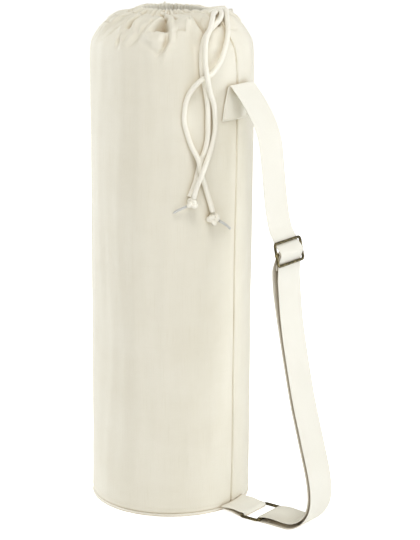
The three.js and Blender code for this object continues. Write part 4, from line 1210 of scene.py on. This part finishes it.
def ribbonMesh(stations, shiftY=0.0, step=2.2, across=26):
    # webbing of even width along the stations, with rounded selvages
    path = evenPath(smoothPath(stations, 6), step)
    flat = path[:, [0, 2]]
    slope = np.gradient(flat, axis=0)
    slope /= np.linalg.norm(slope, axis=1)[:, None]
    normal = np.column_stack([-slope[:, 1], slope[:, 0]])
    along = np.arange(len(path)) * step
    shares = 0.5 * np.sin(np.linspace(-math.pi / 2, math.pi / 2, across))
    section = [(share, 1.0) for share in shares] + [(share, -1.0) for share in shares[::-1]]
    selvage = np.array([(1.0 - abs(2.0 * share) ** 14) ** 0.5 for share, _ in section])
    columns = len(section)
    points = np.zeros((len(path), columns, 3))
    for k, (share, side) in enumerate(section):
        place = share * webbing["width"] + path[:, 4]
        bend = path[:, 3] / (bagSize["radius"] + webbing["patchGap"])
        bent = np.maximum(bend, 1e-6)
        drop = np.where(bend > 1e-4, (1.0 - np.cos(place * bent)) / bent, 0.0)
        sideways = np.where(bend > 1e-4, np.sin(place * bent) / bent, place)
        offset = side * webbing["thickness"] * 0.5 * (0.12 + 0.88 * selvage[k])
        points[:, k, 0] = path[:, 0] - drop + normal[:, 0] * offset * np.cos(place * bend)
        points[:, k, 1] = sideways + shiftY
        points[:, k, 2] = path[:, 2] + normal[:, 1] * offset + path[:, 5] * place
    widths = np.concatenate([shares * webbing["width"], (1.0 + shares) * webbing["width"] + 1.0])
    acrossUv = np.append(widths, widths[-1] + 2.0)
    faces = gridFaces(len(path), columns)
    uvs = gridUvs(len(path), columns, acrossUv, np.append(along, along[-1]))
    half = columns // 2
    lastRow = (len(path) - 1) * columns
    for k in range(half - 1):
        low = (k, columns - 1 - k, columns - 2 - k, k + 1)
        faces.append(low)
        faces.append(tuple(lastRow + index for index in reversed(low)))
        uvs.extend([(0.0, 0.0)] * 8)
    return points.reshape(-1, 3), faces, uvs


def makeWebbing():
    strap = ribbonMesh(strapStations())
    makePiece("shoulder_strap_webbing", strap, webbingCotton, "webbing", "shoulder_strap")
    # box of stitches that holds the strap's end to the bag
    inset = webbing["width"] / 2 - 2.0
    shift = webbing["patchShift"]
    low, high = webbing["patchBottom"] + 2.0, webbing["patchTop"] - 3.0
    corners = [(-inset, high), (-inset + shift, low), (inset + shift, low), (inset, high)]
    rows = []
    for (y1, z1), (y2, z2) in zip(corners, corners[1:]):
        rows += [(blend(y1, y2, share), blend(z1, z2, share)) for share in np.linspace(0.0, 1.0, 60)]
    rows = np.array(rows)
    away = bagSize["radius"] + webbing["patchGap"]
    share = (rows[:, 1] - webbing["patchBottom"]) / (webbing["patchTop"] - webbing["patchBottom"])
    bend = patchBend(share) / away
    x = patchX + webbing["thickness"] / 2 - (1.0 - np.cos(rows[:, 0] * bend)) / bend
    y = np.sin(rows[:, 0] * bend) / bend
    facing = ringPoints(rows[:, 0] * bend, 1.0, 0.0)
    patch = stitchRow(np.stack([x, y, rows[:, 1]], axis=1), facing)
    makePiece("strap_patch_stitches", patch, threadCotton, "webbing")
    tab = ribbonMesh(tabStations(), hardware["ringShiftY"], 1.6)
    makePiece("ring_tab_webbing", tab, webbingCotton, "webbing", "ring_tab")


makeWebbing()
print("webbing laid")


# Brass slider and base ring

def roundedRing(spanAcross, spanAlong, wire, flatten):
    # a closed rounded rectangle of slightly squared wire, in its own flat frame
    corner = hardware["cornerRadius"]
    centres = [(1, 1, 0), (-1, 1, 90), (-1, -1, 180), (1, -1, 270)]
    rows = []
    for sideX, sideY, start in centres:
        for step in range(13):
            turn = math.radians(start + step * 90.0 / 12)
            rows.append((sideX * (spanAcross / 2 - corner), sideY * (spanAlong / 2 - corner), turn))
    sides = 20
    points = []
    for x, y, turn in rows:
        for side in range(sides):
            roll = side * 2.0 * math.pi / sides
            reach = corner + wire / 2 * math.copysign(abs(math.cos(roll)) ** 0.85, math.cos(roll))
            lift = wire / 2 * flatten * math.copysign(abs(math.sin(roll)) ** 0.85, math.sin(roll))
            points.append((x + reach * math.cos(turn), y + reach * math.sin(turn), lift))
    faces = gridFaces(len(rows), sides, closeRows=True)
    return np.array(points), faces, [(0.0, 0.0)] * (4 * len(faces))


def placeFlat(shape, centre, acrossAxis, alongAxis):
    # the brass has no cloth uvs
    points, faces, _ = shape
    liftAxis = np.cross(acrossAxis, alongAxis)
    axes = np.stack([acrossAxis, alongAxis, liftAxis])
    return points @ axes + np.asarray(centre), faces, None


def makeHardware():
    inner = webbing["width"] + 2 * hardware["sideGap"]
    across = np.array([0.0, 1.0, 0.0])
    wire = hardware["sliderWire"]
    up = np.array([-leanSine, 0.0, leanCosine])
    frameRing = roundedRing(inner + wire, hardware["sliderHeight"] - wire, wire, 0.94)
    half = (inner + 2 * wire) / 2 + 0.8
    barPath = np.stack([np.linspace(-half, half, 60), np.zeros(60), np.zeros(60)], axis=1)
    share = np.abs(barPath[:, 0]) / half
    radii = hardware["sliderBarWire"] / 2 * (1.0 + 0.16 * smoothShare((share - 0.9) / 0.03)
                                           - 0.5 * smoothShare((share - 0.985) / 0.015))
    bar = tubeMesh(barPath, radii, 18)
    centre = (hardware["sliderCentre"][0], 0.0, hardware["sliderCentre"][1])
    slider = placeFlat(joinMeshes([frameRing, bar]), centre, across, up)
    makePiece("strap_slider_brass", slider, agedBrass, "aged_brass", "strap_slider")
    ring = roundedRing(inner + hardware["ringWire"], hardware["ringReach"] - hardware["ringWire"],
                       hardware["ringWire"], 1.0)
    centre = ((hardware["ringInnerBarX"] + ringOuterBarX) / 2, hardware["ringShiftY"], ringBarLift)
    ring = placeFlat(ring, centre, across, np.array([1.0, 0.0, 0.0]))
    makePiece("base_ring_brass", ring, agedBrass, "aged_brass", "base_ring")


makeHardware()
print("hardware made")


# Studio: pale floor, soft lights in front and above and a light edge on either side. The floor and
# the background glow white to the camera and give the bag less light than that.

studio = {
    "ambient": 0.33,
    "ambientColour": (1.0, 0.945, 0.84, 1.0),
    "floorColour": (0.95, 0.95, 0.95, 1.0),
    "floorGlow": 0.78,
    "floorBounce": 0.22,
    "lights": [
        # name, place and aim in metres, size, power, colour
        ("front softbox", (2.1, -1.3, 1.5), (0.0, 0.0, 0.35), (1.0, 1.4), 12.0, (0.97, 1.0, 1.06)),
        ("right edge softbox", (2.2, 1.4, 1.2), (0.0, 0.0, 0.35), (0.7, 2.0), 27.0, (0.95, 1.0, 1.08)),
        ("left edge softbox", (-2.2, -0.25, 1.0), (0.0, 0.0, 0.35), (0.6, 2.0), 36.0, (0.95, 1.0, 1.08)),
        ("top softbox", (0.9, -1.1, 2.6), (0.0, 0.0, 0.6), (1.0, 1.0), 25.0, (1.0, 1.0, 1.0)),
    ],
}


def makeStudio():
    scene = bpy.context.scene
    scene.view_settings.view_transform = "Standard"
    world = bpy.data.worlds.new("studio white")
    world.use_nodes = True
    tree = world.node_tree
    tree.nodes.clear()
    desk = NodeDesk(tree)
    seen = desk.add("ShaderNodeLightPath").outputs["Is Camera Ray"]
    background = desk.add("ShaderNodeBackground")
    sky = desk.mixColour(seen, studio["ambientColour"], (1.0, 1.0, 1.0, 1.0))
    desk.feed(background.inputs["Color"], sky)
    desk.feed(background.inputs["Strength"], desk.span(seen, 0.0, 1.0, studio["ambient"], 1.05))
    output = desk.add("ShaderNodeOutputWorld")
    tree.links.new(background.outputs[0], output.inputs["Surface"])
    scene.world = world
    for name, place, aim, size, power, colour in studio["lights"]:
        data = bpy.data.lights.new(name, "AREA")
        data.shape = "RECTANGLE"
        data.size, data.size_y = size
        data.energy = power
        data.color = colour
        light = bpy.data.objects.new(name, data)
        light.location = place
        light.rotation_euler = (Vector(aim) - Vector(place)).to_track_quat("-Z", "Y").to_euler()
        scene.collection.objects.link(light)
    material, desk, shader = newMaterial("pale floor")
    shader.inputs["Base Color"].default_value = studio["floorColour"]
    shader.inputs["Roughness"].default_value = 0.9
    shader.inputs["Specular IOR Level"].default_value = 0.1
    shader.inputs["Emission Color"].default_value = (1.0, 1.0, 1.0, 1.0)
    seen = desk.add("ShaderNodeLightPath").outputs["Is Camera Ray"]
    glow = desk.span(seen, 0.0, 1.0, studio["floorBounce"], studio["floorGlow"])
    desk.feed(shader.inputs["Emission Strength"], glow)
    mesh = bpy.data.meshes.new("floor")
    mesh.from_pydata([(-6, -6, 0), (6, -6, 0), (6, 6, 0), (-6, 6, 0)], [], [(0, 1, 2, 3)])
    mesh.materials.append(material)
    floor = bpy.data.objects.new("floor", mesh)
    scene.collection.objects.link(floor)


makeStudio()
print("studio lit")
